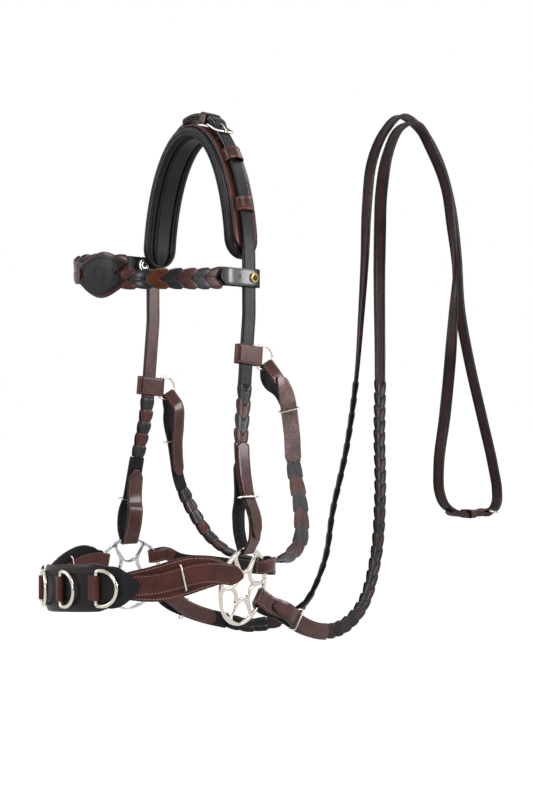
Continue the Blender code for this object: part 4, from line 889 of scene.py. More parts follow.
@dataclass(frozen=True)
class Leaf:
    """One leaf of a plait: narrow where it comes through the last, broad and notched at its end."""

    width: float
    thickness: float
    pitch: float
    notch: float = 0.46
    tip: float = 0.13
    throat: float = 0.66
    lobe: float = 0.66
    crest: float = 0.52
    turn_down: float = 0.72
    overlap: float = 1.42
    hide: float = 0.0019
    shoulder: float = 0.82

    def spot(self, t: float, c: float, under: bool) -> Triple:
        """Where a point goes, by its shares of the way to the end and across (-1 to 1), and the kind."""
        overlap, notch = (1.12, 0.0) if under else (self.overlap, self.notch)
        wide = self.throat + (1 - self.throat) * math.sin(math.pi / 2 * min(1.0, t / self.shoulder))
        inner = max(0.0, 1 - abs(c) / self.lobe)
        outer = max(0.0, (abs(c) - self.lobe) / (1 - self.lobe))
        x = t * (self.pitch * overlap) - self.width * t**1.6 * (notch * inner**1.15 + self.tip * outer**2.2)
        reach = self.crest if abs(c) < self.crest else 0.48
        dome = 1 - abs((abs(c) - self.crest) / reach) ** 2.2
        end = math.sqrt(max(0.0, 1 - 0.75 * max(0.0, (t - self.turn_down) / 0.28) ** 2.5))
        rise = (self.thickness / 2 - self.hide) * (0.30 + 0.70 * t**0.7) * (0.42 + 0.58 * dome) * end
        return (x - (overlap - 1) * self.pitch, c * wide * self.width / 2, max(0.0001, rise))

    def model(self, grain: BridleLeather, cut: BridleLeather, under: bool) -> Obj:
        """Shapes one leaf.

        Args:
            grain: The finish of its faces.
            cut: The finish of its cut edge.
            under: Whether it is the square block that shows on the flesh side.

        Returns:
            The leaf, at the start of the plait.
        """
        clear_selection()
        bpy.ops.mesh.primitive_grid_add(x_subdivisions=12, y_subdivisions=16, size=2.0, location=(0, 0, 0))
        obj = bpy.context.object
        for v in obj.data.vertices:
            v.co = self.spot((v.co.x + 1) / 2, v.co.y, under)
        raise_plate(obj, self.hide, 0.0005)
        dress(obj, grain, cut)
        for face in obj.data.polygons:
            face.material_index = 0 if abs(face.normal.z) > 0.55 else 1
        flat_map(obj)
        if under:
            for v in obj.data.vertices:
                v.co = (v.co.x, v.co.y * 0.94, -v.co.z)
        return obj


@dataclass
class Plait:
    """A plait of leaves along a route, from its pointed start to its broad end."""

    kind: str
    side: Side
    route: Route
    start: float
    end: float
    units: int
    width: float
    thickness: float
    colours: Sequence[BridleLeather]
    body: str = "bridle"
    broad_first: bool = False
    sag: float = 0.0
    slim: float = 0.0

    def build(self) -> None:
        """Laces the leaves over a dark core and settles the plait."""
        ends = (self.end, self.start) if self.broad_first else (self.start, self.end)
        lay = Lay.level(self.route, *ends, flip=self.broad_first)
        pitch = lay.length / self.units
        leaf = Leaf(self.width, self.thickness, pitch)
        cuts = {BLACK_PLAIT: BLACK_CUT, REIN_BLACK: BLACK_EDGE, REIN_BROWN: BROWN_EDGE}
        models = {(under, colour): leaf.model(colour, cuts.get(colour, BROWN_CUT), under)
                  for under in (False, True) for colour in dict.fromkeys(self.colours)}
        parts = []
        for unit in range(self.units):
            for under in (False, True):
                copy = models[under, self.colours[(unit + under) % len(self.colours)]].copy()
                copy.data = copy.data.copy()
                bpy.context.scene.collection.objects.link(copy)
                copy.data.transform(Matrix.Translation((unit * pitch, 0, 0)))
                if unit == 0:
                    for v in copy.data.vertices:
                        v.co.x = max(v.co.x, 0.0)
                parts.append(copy)
        for model in models.values():
            bpy.data.objects.remove(model, do_unlink=True)
        parts.append(Strap("core", lay, 0.33 * self.width, 0.42 * self.thickness, BLACK_BOTH, step=0.003,
                           cells=4).cut())
        piece = joined(f"{self.kind}_plait_leaves_{self.side.label}", parts)
        if self.sag or self.slim:
            for v in piece.data.vertices:
                share = clamp(v.co.x / lay.length)
                v.co.y = v.co.y * (1 - self.slim * (1 - share)) + self.sag * (1 - share) ** 0.4
        lay.wrap(piece)
        settle(piece, self.body, [f"{self.kind}_plait_{self.side.label}"])


# Sub-assemblies


@dataclass
class Adjuster:
    """A strap folded through a ring or slot and held by a wire buckle, its pointed billet outside."""

    label: str
    route: Route
    length: float
    width: float
    seat: float
    bulge: float = 0.0105
    reach: float = 0.026
    rounding: float = FOLD_ROUNDING
    body: str = "bridle"
    wire: float = 0.0011
    waist: float = 0.48
    back: float = 0.85
    finish: StrapFinish = FOLDED_STRAP
    slack: float = 0.0045
    inset: float = 0.0016

    def loose(self, s: float) -> float:
        """How much of the inner side's slack shows at a distance: most at the waist, none at its ends."""
        top, low = self.back * self.length - 0.006, 0.5 * self.reach
        return math.sin(math.pi * clamp((s - low) / (top - low))) ** 1.2

    def folded(self) -> list[Pair]:
        """The middle line's (distance, height) spots: down outside, round the fold and back up inside."""
        rest = LAYER / 2 + GAP / 2
        waist = self.waist * self.length
        apart = self.wire + 2 * GAP + LAYER / 2
        down = [Vector(spot) for spot in (
            (self.length, rest), ((self.length + waist) / 2 + 0.01, rest), (waist + 0.020, rest),
            (waist, apart), ((waist + self.reach) / 2, apart + 0.70 * (self.bulge - apart)),
            (self.reach, self.bulge), (0.42 * self.reach, 0.90 * self.bulge))]
        up = [(spot.x, -spot.y - self.slack * self.loose(spot.x)) for spot in reversed(down)
              if spot.x < self.back * self.length - 0.004]
        turn = half_turn(-(self.seat + GAP + LAYER / 2), self.rounding)
        return smooth_spots([*down, *turn, *up, (self.back * self.length, -rest)], 8)

    def billet(self, path: list[Pair]) -> None:
        """Lays the pointed billet over the outer side of the folded strap's path."""
        lowest = min(range(len(path)), key=lambda i: path[i][0])
        over = [Vector(spot) for spot in path[:lowest] if spot[0] > 0.45 * self.reach]
        ways = [(over[min(i + 1, len(over) - 1)] - over[max(0, i - 1)]).normalized()
                for i in range(len(over))]
        lifted = [(spot.x - way.y * LAYER, spot.y + -way.x * LAYER) for spot, way in zip(over, ways)]
        Strap(f"{self.label}_adjuster_billet", Lay.along(self.route, lifted, flip=True),
              self.width / 2 - self.inset, LAYER - GAP, self.finish,
              tips=(0.005, 0.014)).place(body=self.body)

    def build(self) -> None:
        """Makes the strap, its billet and its wire buckle."""
        path = self.folded()
        tip, row = 0.012, self.width / 2 - 0.0022
        Strap(f"{self.label}_adjuster_strap", Lay.along(self.route, path, flip=True), self.width / 2, LAYER,
              FOLDED_STRAP, tips=(0.0, tip), point=0.35).sew(0.003, tip, row, BROWN_THREAD).sew(
                  0.003, tip, row, BLACK_THREAD, Face.FLESH).place(f"{self.label}_adjuster", body=self.body)
        self.billet(path)
        point, _, across, out = self.route.frame(self.waist * self.length)
        side = self.width / 2 + BUCKLE_PLAY
        outline = rounded_box(-side, 0.0, side, 2 * (self.wire + GAP + LAYER + GAP), BUCKLE_CORNER)
        wire_piece(f"{self.label}_wire_buckle", in_plane(point, across, out, outline), self.wire,
                   [f"{self.label}_buckle"], self.body)


@dataclass
class Skeleton:
    """The ways that the straps take, as the frame has them."""

    arch_half_width: float = 0.0700
    arch_height: float = 0.1600
    pad_thickness: float = 0.0135
    facing_thickness: float = 0.0028
    strap_thickness: float = 0.0044
    strap_width: float = 0.018
    crown_lift: float = 0.0045
    bend_level: float = -0.215
    keeper_level: dict[Side, float] = by_side(-0.2600, -0.2945)
    plait_top: dict[Side, float] = by_side(-0.2936, -0.3090)
    plait_end: dict[Side, float] = by_side(-0.3610, -0.3830)
    wheel_centre: dict[Side, Vector] = by_side(Vector((0.1060, -0.0242, -0.5226)),
                                               Vector((-0.1060, -0.0245, -0.5277)))
    wheel_toe: dict[Side, float] = by_side(13.0, 7.0)
    wheel_lean: dict[Side, float] = by_side(6.0, 0.0)
    wheel_radius: float = 0.0450
    rim_width: float = 0.0045

    @property
    def strap_offset(self) -> float:
        """From the pad's inner face to the middle of the strap over it."""
        return self.pad_thickness + self.facing_thickness + 2 * GAP + self.strap_thickness / 2

    @property
    def leg_x(self) -> float:
        """How far out the cheek straps hang."""
        return self.arch_half_width + self.strap_offset

    def arch_spot(self, angle: float, offset: float) -> tuple[Vector, Vector]:
        """The point over the pad's inner face at an angle from the near side, and its outward direction."""
        c, s = cos_sin(angle)
        out = Vector((self.arch_height * c, 0.0, self.arch_half_width * s)).normalized()
        return Vector((self.arch_half_width * c, 0.0, self.arch_height * (s - 1))) + out * offset, out

    def crown_rise(self, angle: float) -> float:
        """How much further out the straps lie near the crown."""
        return self.crown_lift * max(0.0, cos_sin(angle)[1]) ** 6

    def wheel_axes(self, side: Side) -> tuple[Vector, Vector, Vector]:
        """The wheel's up, front and outward directions."""
        toe, lean, away = self.wheel_toe[side], self.wheel_lean[side], RIGHT * side.value
        out = turned(toe, away, BACK)
        return turned(lean, UP, out), turned(toe, -BACK, away), turned(lean, out, -UP)

    def slot_stops(self, side: Side, clock: float, skew: float = 0.0, tuck: float = 0.0,
                   run: float = 0.014) -> list[Stop]:
        """Finds how a strap leaves a wheel's slot.

        Args:
            side: The wheel's side.
            clock: The slot's angle from the top towards the front, in degrees.
            skew: How far the strap turns within the wheel's plane.
            tuck: How far it turns towards the horse.
            run: How far it runs straight.

        Returns:
            Its first three stops.
        """
        up, front, out = self.wheel_axes(side)
        seat = self.wheel_centre[side] + turned(clock, up, front) * (self.wheel_radius - self.rim_width / 2)
        way = turned(clock + skew, up, front)
        leaving = turned(tuck, way, -out)
        return [(seat + leaving * (run * share), out.cross(way)) for share in (0.0, 0.5, 1.0)]

    def rim_seat(self, width: float, skew: float = 0.0) -> float:
        """From the rim's middle to its inner edge, at the far corner of a strap that crosses it askew."""
        middle, inner = self.wheel_radius - self.rim_width / 2, self.wheel_radius - self.rim_width
        half, turn = width / 2, math.radians(abs(skew))
        run = middle * math.cos(turn)
        corner = middle**2 + half**2 + 2 * middle * half * math.sin(turn) - inner**2
        return run - math.sqrt(run**2 - corner) + 0.0002

    def cheek_stops(self, side: Side) -> list[Stop]:
        """From the wheel's top slot up the plait and the cheek strap to the headpiece."""
        sign, drop = side.value, self.bend_level - self.plait_top[side]
        places = [(0.0065, -0.0185, self.plait_end[side])]
        places += [(0.0010 * share, -0.0075 * share, self.bend_level - drop * share)
                   for share in (1.12, 1.0, 0.75, 0.5, 0.25, 0.0)]
        places.append((0.0, 0.0, 0.5 * (self.bend_level - self.arch_height)))
        return self.slot_stops(side, 0) + [(Vector((sign * (self.leg_x + x), y, z)), -BACK * sign)
                                           for x, y, z in places]

    def head_route(self) -> Route:
        """One route from the near wheel up over the poll and down to the far wheel."""
        arch = [(self.arch_spot(angle, self.strap_offset + self.crown_rise(angle))[0], -BACK)
                for angle in range(0, 181, 10)]
        return Route(self.cheek_stops(NEAR) + arch + reversed_stops(self.cheek_stops(FAR)))

    def keeper_frame(self, side: Side) -> tuple[Vector, Vector, Vector]:
        """The cheek strap's middle at the jaw keeper, and its upward and backward directions there."""
        route = Route(self.cheek_stops(side))
        point, tangent, across, _ = route.frame(route.reaches(self.keeper_level[side], 2))
        return point, tangent, -across * side.value


@dataclass
class HeelBuckle:
    """A buckle with a heel bar: the billet, the chape that folds round the bar, frame and tongue."""

    label: str
    names: tuple[str, str]
    route: Route
    ends: Pair
    heel: float
    width: float
    thickness: float
    wire: float
    frame_size: Pair
    billet: float
    finish: StrapFinish
    slot: str
    thread: WaxedThread
    edged: bool = False
    tongue: float = 0.0010
    tuck: float = 0.004
    tip: float = 0.011

    @property
    def chape(self) -> float:
        """How thick each half of the strap is where it is split round the heel bar."""
        return (self.thickness - GAP) / 2

    def height(self, s: float) -> float:
        """The height of the strap that passes under the front bar and over the heel bar."""
        length = self.frame_size[1]
        over = self.wire + self.chape + self.thickness / 2 + 2 * GAP
        on = self.thickness + 2 * GAP
        rise = smooth_step((s - (self.heel - length + 2 * self.wire + GAP)) / (length - 3 * self.wire))
        drop = smooth_step((s - self.heel - 0.006) / 0.010)
        return over * rise - (over - on) * drop

    def strap(self, name: str, lay: Lay, tip: float, end: float) -> None:
        """Cuts, sews and lays one strap.

        Args:
            name: The node that it stands for.
            lay: Where it lies.
            tip: How long its pointed end is.
            end: How far before its end the stitches stop.
        """
        strap = Strap(f"{name}_cut", lay, self.width / 2, self.thickness, self.finish, step=0.004,
                      tips=(0.0, tip))
        for face, thread in ((Face.GRAIN, self.thread), (Face.FLESH, BROWN_THREAD)):
            strap.sew(0.003, end, self.width / 2 - 0.0021, thread, face)
        if self.edged:
            strap.parts += self.edging(lay, tip)
        strap.place(name, slot=self.slot)

    def straps(self) -> None:
        """Makes the billet, the strap that it meets, and the chape of that strap."""
        first, last = self.ends
        path = [(s, self.height(s))
                for s in spread(first - self.tuck, self.heel + self.billet + 0.011, 0.0020)]
        self.strap(self.names[0], Lay.along(self.route, path), self.tip, self.tip)
        meeting = self.heel + 0.060 - 0.008
        self.strap(self.names[1], Lay.level(self.route, last + self.tuck, meeting, flip=True), 0.0, 0.0)
        layer, fold = self.thickness / 2 - self.chape / 2, self.wire + GAP + self.chape / 2
        line = [(0.052, layer), (0.038, layer), (0.024, layer), (0.012, layer), (0.005, fold * 0.9)]
        line += [(-fold * c, fold * s) for c, s in map(cos_sin, (75, 38, 0, -38, -75))]
        line += [(0.005, -fold * 0.9), (0.012, -layer), (0.024, -layer), (0.036, -layer), (0.043, -layer)]
        spots = smooth_spots([(self.heel + x, y) for x, y in line], 5)
        Strap(f"{self.names[1]}_chape", Lay.along(self.route, spots, flip=True), self.width / 2, self.chape,
              self.finish, step=0.0015, tips=(0, 0.009)).place(slot=self.slot)

    def edging(self, lay: Lay, tip: float) -> list[Obj]:
        """The raised black edges of a lined rein, two strips on each face, that stop at its pointed end."""
        made = []
        for row in (-1, 1):
            for face in Face:
                edge = Strap("edge", lay, 0.0016, 0.0012, BLACK_FACED, cells=2,
                             stations=spread(0.0, lay.length - tip, 0.004)).cut()
                for v in edge.data.vertices:
                    v.co.y += row * (self.width / 2 - 0.0018)
                    v.co.z += face.value * (self.thickness / 2 + 0.0001)
                made.append(edge)
        return made

    def metal(self) -> None:
        """Bends the frame and the tongue."""
        width, length = self.frame_size
        front = self.thickness / 2 + GAP + self.wire
        points = []
        for c, r in rounded_box(-width / 2, 0.0, width / 2, length, 2 * self.wire):
            point, _, across, out = self.route.frame(self.heel - r)
            points.append(point + across * c + out * (front * r / length))
        wire_piece(f"{self.label}_buckle_frame", points, self.wire, [f"{self.label}_buckle"])
        round_bar = self.wire + GAP + self.tongue
        path = [(self.heel + round_bar * math.cos(a), round_bar * math.sin(a))
                for a in (-1.2, -0.2, 0.8, 1.6)]
        rest = front + self.wire + GAP + self.tongue
        for s in (self.heel - 0.55 * length, self.heel - 0.8 * length):
            path.append((s, max(rest, self.height(s) + self.thickness / 2 + GAP + self.tongue)))
        path += [(self.heel - length, rest), (self.heel - length - 0.003, rest)]
        spots = []
        for s, h in path:
            point, _, _, out = self.route.frame(s)
            spots.append(point + out * h)
        wire_piece(f"{self.label}_buckle_tongue", smooth_line(spots, 5), self.tongue,
                   [f"{self.label}_tongue"], f"{self.label}_tongue", closed=False)

    def build(self, beyond: float, depth: float) -> None:
        """Makes all of it, and sews a plain keeper loop, that deep, round both straps beyond the heel bar."""
        self.straps()
        self.metal()
        s, wall = self.heel + beyond, 0.0016
        point, _, across, out = self.route.frame(s)
        clear, side = self.thickness / 2 + LOOP_GAP + wall / 2, self.width / 2 + wall
        outline = rounded_box(-side, -clear, side, self.height(s) + clear, wall)
        Strap(f"{self.label}_keeper_loop", Lay.round(point, across, out, outline), depth / 2, wall,
              BROWN_BOTH, step=0.0008, cells=4).place()


@dataclass
class Headpiece:
    """The padded liner, its stitched facing, the keepers on it and the strap over the head."""

    bones: Skeleton
    pad_width: float = 0.046
    facing_width: float = 0.036
    pad_ends: Pair = (4.6, 175.4)
    facing_ends: Pair = (7.5, 164.5)
    keeper_angles: Pair = (26.0, 51.0)
    keeper_height: float = 0.0170
    keeper_wall: float = 0.0018
    piping: float = 0.0014
    fill: float = 0.8
    crown_x: float = 0.0310

    def arch_lay(self, ends: Pair, offset: float) -> Lay:
        """Lays a band, grain side out, round the arch between two angles, over the liner's inner face."""
        places = [self.bones.arch_spot(angle, offset) for angle in spread(ends[0], ends[1], 1.0)]
        return Lay([point for point, _ in places], [-BACK] * len(places), [out for _, out in places])

    def pad(self) -> None:
        """Stuffs the liner: flat against the facing, crowned on the poll side with a raised channel."""
        lay = self.arch_lay(self.pad_ends, 0.0)
        half, deep = self.pad_width / 2 - self.piping, self.bones.pad_thickness
        width = round_ended(lay.length, half)
        stations = round_stations(lay.length, half, 0.005)
        strap = Strap("headpiece_liner", lay, width, deep, StrapFinish(SOFT_BLACK, SOFT_BLACK, SOFT_BLACK),
                      cells=40, stations=stations)
        for v in strap.cut().data.vertices:
            share = min(1.0, abs(v.co.y) / max(1e-5, width(v.co.x)))
            full = min(1.0, width(v.co.x) / half)
            if v.co.z < 0:
                bend = max(0.0, 1 - ((share - 0.82) / 0.20) ** 2)
                roll = 0.50 - 0.44 * math.sqrt(bend) if share > 0.62 else 1.0
                flat = 0.07 + 0.40 * smooth_step((share - 0.42) / 0.22)
                v.co.z = min(roll, flat) * deep + (1 - full) * 0.35 * deep
            else:
                v.co.z = deep - 0.12 * deep * smooth_step((share - 0.8) / 0.2)
        body = strap.place("headpiece_pad", slot="black_leather", angle=60)
        for number, (depth, gauge) in enumerate(((0.62, 0.8), (0.30, 1.0))):
            edge = [Vector((u, sign * (width(u) - 0.2 * self.piping), depth * deep))
                    for sign, run in ((1, stations), (-1, stations[::-1])) for u in run]
            wire_piece(f"headpiece_liner_piping_{number}", edge, self.piping * gauge, finish=SOFT_BLACK,
                       lay=lay)

    def facing(self) -> None:
        """Sews the brown facing on the liner."""
        thickness, half = self.bones.facing_thickness, self.facing_width / 2
        lay = self.arch_lay(self.facing_ends, self.bones.pad_thickness + GAP + thickness / 2)
        Strap("headpiece_facing_leather", lay, round_ended(lay.length, half), thickness, BROWN_BOTH, cells=8,
              stations=round_stations(lay.length, half, 0.004)).sew(
                  0.018, 0.018, half - 0.0024, BROWN_THREAD).place("headpiece_facing")

    def keeper(self, name: str, angle: float) -> None:
        """Sews on the facing, at an angle, the loop of that name that holds the straps."""
        bones, half, thin = self.bones, self.keeper_height / 2, self.keeper_wall / 2
        point, out = bones.arch_spot(angle, bones.pad_thickness + bones.facing_thickness + 2 * GAP)
        top = bones.crown_rise(angle) + bones.strap_thickness + 2 * LOOP_GAP + thin
        inner = bones.strap_width / 2 + LOOP_GAP + thin
        outline = [(-inner - 0.0035, 0.0009), (-inner - 0.0012, 0.0010), (-inner, 0.0024),
                   (-inner, top - 0.002), (-inner + 0.0018, top)]
        outline += [(-x, y) for x, y in reversed(outline)]
        lay = Lay.round(point, BACK, out, smooth_spots(outline, 4)[::-1], closed=False)
        Strap(name.replace("keeper", "keeper_loop"), lay, half, self.keeper_wall, BROWN_BOTH, step=0.0010,
              cells=4).sew(0.001, 0.001, half - 0.002, BROWN_THREAD).place(name)

    def build(self) -> None:
        """Makes all of it: the near strap is a billet at the crown, and the far one has the crown buckle."""
        self.pad()
        self.facing()
        for side in Side:
            for number, angle in enumerate(self.keeper_angles, 1):
                self.keeper(f"pad_keeper_{side.label}_{number}", angle if side is NEAR else 180 - angle)
        bones = self.bones
        route = bones.head_route()
        ends = (route.reaches(bones.plait_top[NEAR], 2) + GAP,
                route.reaches(bones.plait_top[FAR], 2, back=True) - GAP)
        HeelBuckle("crown", ("cheek_strap_near", "crown_strap_far"), route, ends,
                   route.reaches(self.crown_x, 0), bones.strap_width, bones.strap_thickness, 0.0014,
                   (0.0285, 0.0180), 0.048, BLACK_STRAP, "black_leather", BLACK_THREAD).build(0.014, 0.011)


@dataclass
class Cheek:
    """One cheek: its adjuster on the wheel, its plait, and the keeper and ring of the jaw strap."""

    bones: Skeleton
    side: Side
    units: dict[Side, int] = by_side(4, 5)
    width: float = 0.0215
    plait_width: float = 0.0195
    plait_thickness: float = 0.0068
    keeper_height: float = 0.0225
    keeper_wall: float = 0.0022

    def build(self) -> None:
        """Makes all of it."""
        bones, side = self.bones, self.side
        route = Route(bones.cheek_stops(side))
        length = route.reaches(bones.plait_end[side], 2) - GAP
        Adjuster(f"cheek_{side.label}", route, length, self.width, bones.rim_seat(self.width)).build()
        top = route.reaches(bones.plait_top[side], 2)
        Plait("cheek", side, route, length + GAP, top, self.units[side], self.plait_width,
              self.plait_thickness, (MAHOGANY, BLACK_PLAIT)).build()
        self.keeper()

    def keeper(self) -> None:
        """The sleeve round the cheek strap, with the D-ring's bar in the fold behind it."""
        point, up, back = self.bones.keeper_frame(self.side)
        label, height, wall = self.side.label, self.keeper_height, self.keeper_wall
        half = self.bones.strap_thickness / 2 + 0.0008 + wall / 2
        outline = rounded_box(-0.0149, -half, DEE_BACK + 0.0031, half, 0.0026)
        Strap(f"jaw_keeper_sleeve_{label}", Lay.round(point, back, up.cross(back), outline), height / 2, wall,
              BROWN_BOTH, step=0.0010).sew(0.001, 0.001, height / 2 - 0.002,
                                           BROWN_THREAD).place(f"jaw_keeper_{label}")
        ring = in_plane(point + back * DEE_BACK, back, up, d_outline(DEE_RADIUS, DEE_STRAIGHT, 0.0015))
        wire_piece(f"jaw_dee_{label}", ring, DEE_WIRE, [f"jaw_ring_{label}"])


@dataclass
class JawStrap:
    """The strap behind the jaws: two adjusters on the rings, two plaits and a plain middle."""

    bones: Skeleton
    hang: float = 58.0
    fold_length: float = 0.120
    fold_width: float = 0.0170
    plait_width: float = 0.0185
    plait_thickness: float = 0.0066
    units: int = 7
    middle_half: float = 0.042
    middle_width: float = 0.0144
    middle_thickness: float = 0.0044
    paths: dict[Side, tuple[Triple, ...]] = by_side(
        mm((93, 52, -305), (94, 64, -345), (94, 68, -390), (90, 83.5, -445), (80, 92, -481), (50, 96, -506)),
        mm((92, 35, -340), (93, 39, -375), (93, 47, -415), (89, 68, -458), (75, 85, -490), (50, 93, -506)))
    bottom: Triple = (0.0, 0.0950, -0.5110)
    twist: dict[Side, float] = by_side(50.0, 0.0)
    # The near billet's pale worn finish is a painted sheen
    finish: dict[Side, StrapFinish] = by_side(WORN_PAINTED_SHEEN_STRAP, FOLDED_STRAP)
    inset: dict[Side, float] = by_side(-0.0012, 0.0016)
    # The near leaves are drawn lighter than the far ones: a painted sheen
    leaves: dict[Side, tuple[BridleLeather, ...]] = by_side((BLACK_PAINTED_SHEEN_PLAIT, BROWN_PAINTED_SHEEN_PLAIT),
                                                            (MAHOGANY, BLACK_PLAIT))

    def stops(self, side: Side) -> list[Stop]:
        """From the ring's bow down to the middle of the jaw."""
        point, up, back = self.bones.keeper_frame(side)
        radial = turned(self.hang, back, -up)
        seat = point + back * (DEE_BACK + DEE_STRAIGHT) + radial * DEE_RADIUS
        stops = [(seat + radial * run, BACK * side.value) for run in (0.0, 0.006, 0.012)]
        for i, (x, y, z) in enumerate(self.paths[side]):
            turn = self.twist[side] * min(1.0, (i + 1) / 2)
            stops.append((Vector((side.value * x, y, z)),
                          turned(turn, BACK * side.value, RIGHT * side.value)))
        return stops

    def build(self) -> None:
        """Makes all of it."""
        inner = DEE_WIRE + DEE_RADIUS - math.sqrt(DEE_RADIUS**2 - (self.fold_width / 2) ** 2) + GAP
        ways = {side: self.stops(side) for side in Side}
        routes = {}
        for side, other in ((NEAR, FAR), (FAR, NEAR)):
            middle = [(Vector(self.bottom), BACK * side.value)]
            routes[side] = route = Route(ways[side] + middle + reversed_stops(ways[other]))
            Adjuster(f"jaw_{side.label}", route, self.fold_length, self.fold_width, inner, bulge=0.0095,
                     reach=0.022, rounding=0.0034, body="jaw_strap", finish=self.finish[side], slack=0.0025,
                     inset=self.inset[side]).build()
            Plait("jaw", side, route, self.fold_length + GAP, route.reaches(0.0, 0) - self.middle_half - GAP,
                  self.units, self.plait_width, self.plait_thickness, self.leaves[side], "jaw_strap").build()
        route = routes[NEAR]
        middle = route.reaches(0.0, 0)
        strap = Strap("jaw_strap_middle",
                      Lay.level(route, middle - self.middle_half, middle + self.middle_half),
                      self.middle_width / 2, self.middle_thickness, BLACK_BOTH, step=0.004)
        for face in Face:
            strap.sew(0.002, 0.002, 0.0052, BLACK_THREAD, face)
        strap.place("jaw_strap_centre", body="jaw_strap", slot="black_leather")


@dataclass
class WheelPiece:
    """A pierced wheel: a round rim, six strap slots and a scalloped centre."""

    bones: Skeleton
    side: Side
    thickness: float = 0.0040
    petals: int = 6
    petal_centre: float = 0.0300
    petal_radius: float = 0.0125
    corner: float = 0.0040
    corner_angle: float = 21.5
    web: float = 0.0042
    rounding: float = 0.0010
    metal: dict[Side, PlatedMetal] = by_side(NICKEL, CHROME)

    def petal(self, turn: float) -> list[Pair]:
        """One strap slot, turned to its place."""
        inner = self.bones.wheel_radius - self.bones.rim_width
        points = arc((0, 0), inner, 90 - self.corner_angle, 90 + self.corner_angle, 12)
        for angle in (90 - self.corner_angle, 90 + self.corner_angle):
            middle = arc((0, 0), inner - self.corner, angle, angle, 1)[0]
            points += arc(middle, self.corner, 0, 360, 24)[1:]
        points += arc((0, self.petal_centre), self.petal_radius, 0, 360, 48)[1:]
        outline = [points[i] for i in convex_hull_2d(points)]
        c, s = cos_sin(turn)
        return [(x * c - y * s, x * s + y * c) for x, y in outline]

    def centre(self) -> list[Pair]:
        """The scalloped opening in the middle."""
        scallop = self.petal_radius + self.web
        half_pitch = 180 / self.petals
        meet = math.degrees(math.acos(self.petal_centre * math.sin(math.radians(half_pitch)) / scallop))
        half_arc = 90 - half_pitch - meet - 2.5
        outline: list[Pair] = []
        for i in range(self.petals):
            turn = 90 + 2 * half_pitch * i
            middle = arc((0, 0), self.petal_centre, turn, turn, 1)[0]
            outline += arc(middle, scallop, turn + 180 + half_arc, turn + 180 - half_arc, 12)
        return outline

    def build(self) -> None:
        """Casts the wheel: a flat drawing given its thickness and well-rounded edges."""
        clear_selection()
        bpy.ops.curve.primitive_bezier_circle_add(radius=self.bones.wheel_radius)
        data = bpy.context.object.data
        data.splines.clear()
        data.dimensions, data.fill_mode = "2D", "BOTH"
        data.extrude = self.thickness / 2 - self.rounding
        data.bevel_depth, data.bevel_resolution, data.offset = self.rounding, 4, -self.rounding
        slots = [self.petal(i * 360 / self.petals) for i in range(self.petals)]
        for outline in (circle(self.bones.wheel_radius, 120), *slots, self.centre()):
            spline = data.splines.new("POLY")
            spline.points.add(len(outline) - 1)
            for corner, (x, y) in zip(spline.points, outline):
                corner.co = (x, y, 0.0, 1.0)
            spline.use_cyclic_u = True
        take(bpy.context.object)
        bpy.ops.object.convert(target="MESH")
        label = f"wheel_{self.side.label}"
        obj = rename(bpy.context.object, f"pierced_{label}")
        up, front, _ = self.bones.wheel_axes(self.side)
        obj.data.transform(matrix_of(self.bones.wheel_centre[self.side], front, up, front.cross(up)))
        dress(obj, self.metal[self.side])
        with editing(obj):
            bpy.ops.mesh.remove_doubles(threshold=0.00001)
        settle(obj, label, [label], angle=35)


@dataclass(frozen=True)
class Stud:
    """A snap stud: where it sits, its turned profile as shares of its size, and its sunk or dyed face."""

    metal: PlatedMetal
    slot: str
    radius: float
    place: float
    profile: tuple[Pair, ...]
    inlay: BridleLeather
    inlay_from: float
    inlay_to: float
    least_flat: float
    height: float = 0.0056


BRASS_STUD = Stud(BRASS, "brass", 0.0058, 0.0010,
                  ((1.0, 0.0), (1.0, 0.16), (0.72, 0.24), (0.72, 0.44), (0.92, 0.52), (1.0, 0.62),
                   (0.92, 0.74), (0.60, 0.80), (0.56, 0.90), (0.36, 1.0)), BROWN, 0.79, 2.0, -1.0)
RINGED_STUD = Stud(STAMPED, "nickel", 0.0074, -0.0200,
                   ((1.0, 0.0), (1.0, 0.76), (0.94, 0.88), (0.80, 0.88), (0.77, 0.70), (0.62, 0.70),
                    (0.59, 0.98), (0.42, 0.98), (0.39, 0.72), (0.16, 0.72)), BLACK, 0.69, 0.73, 0.8)


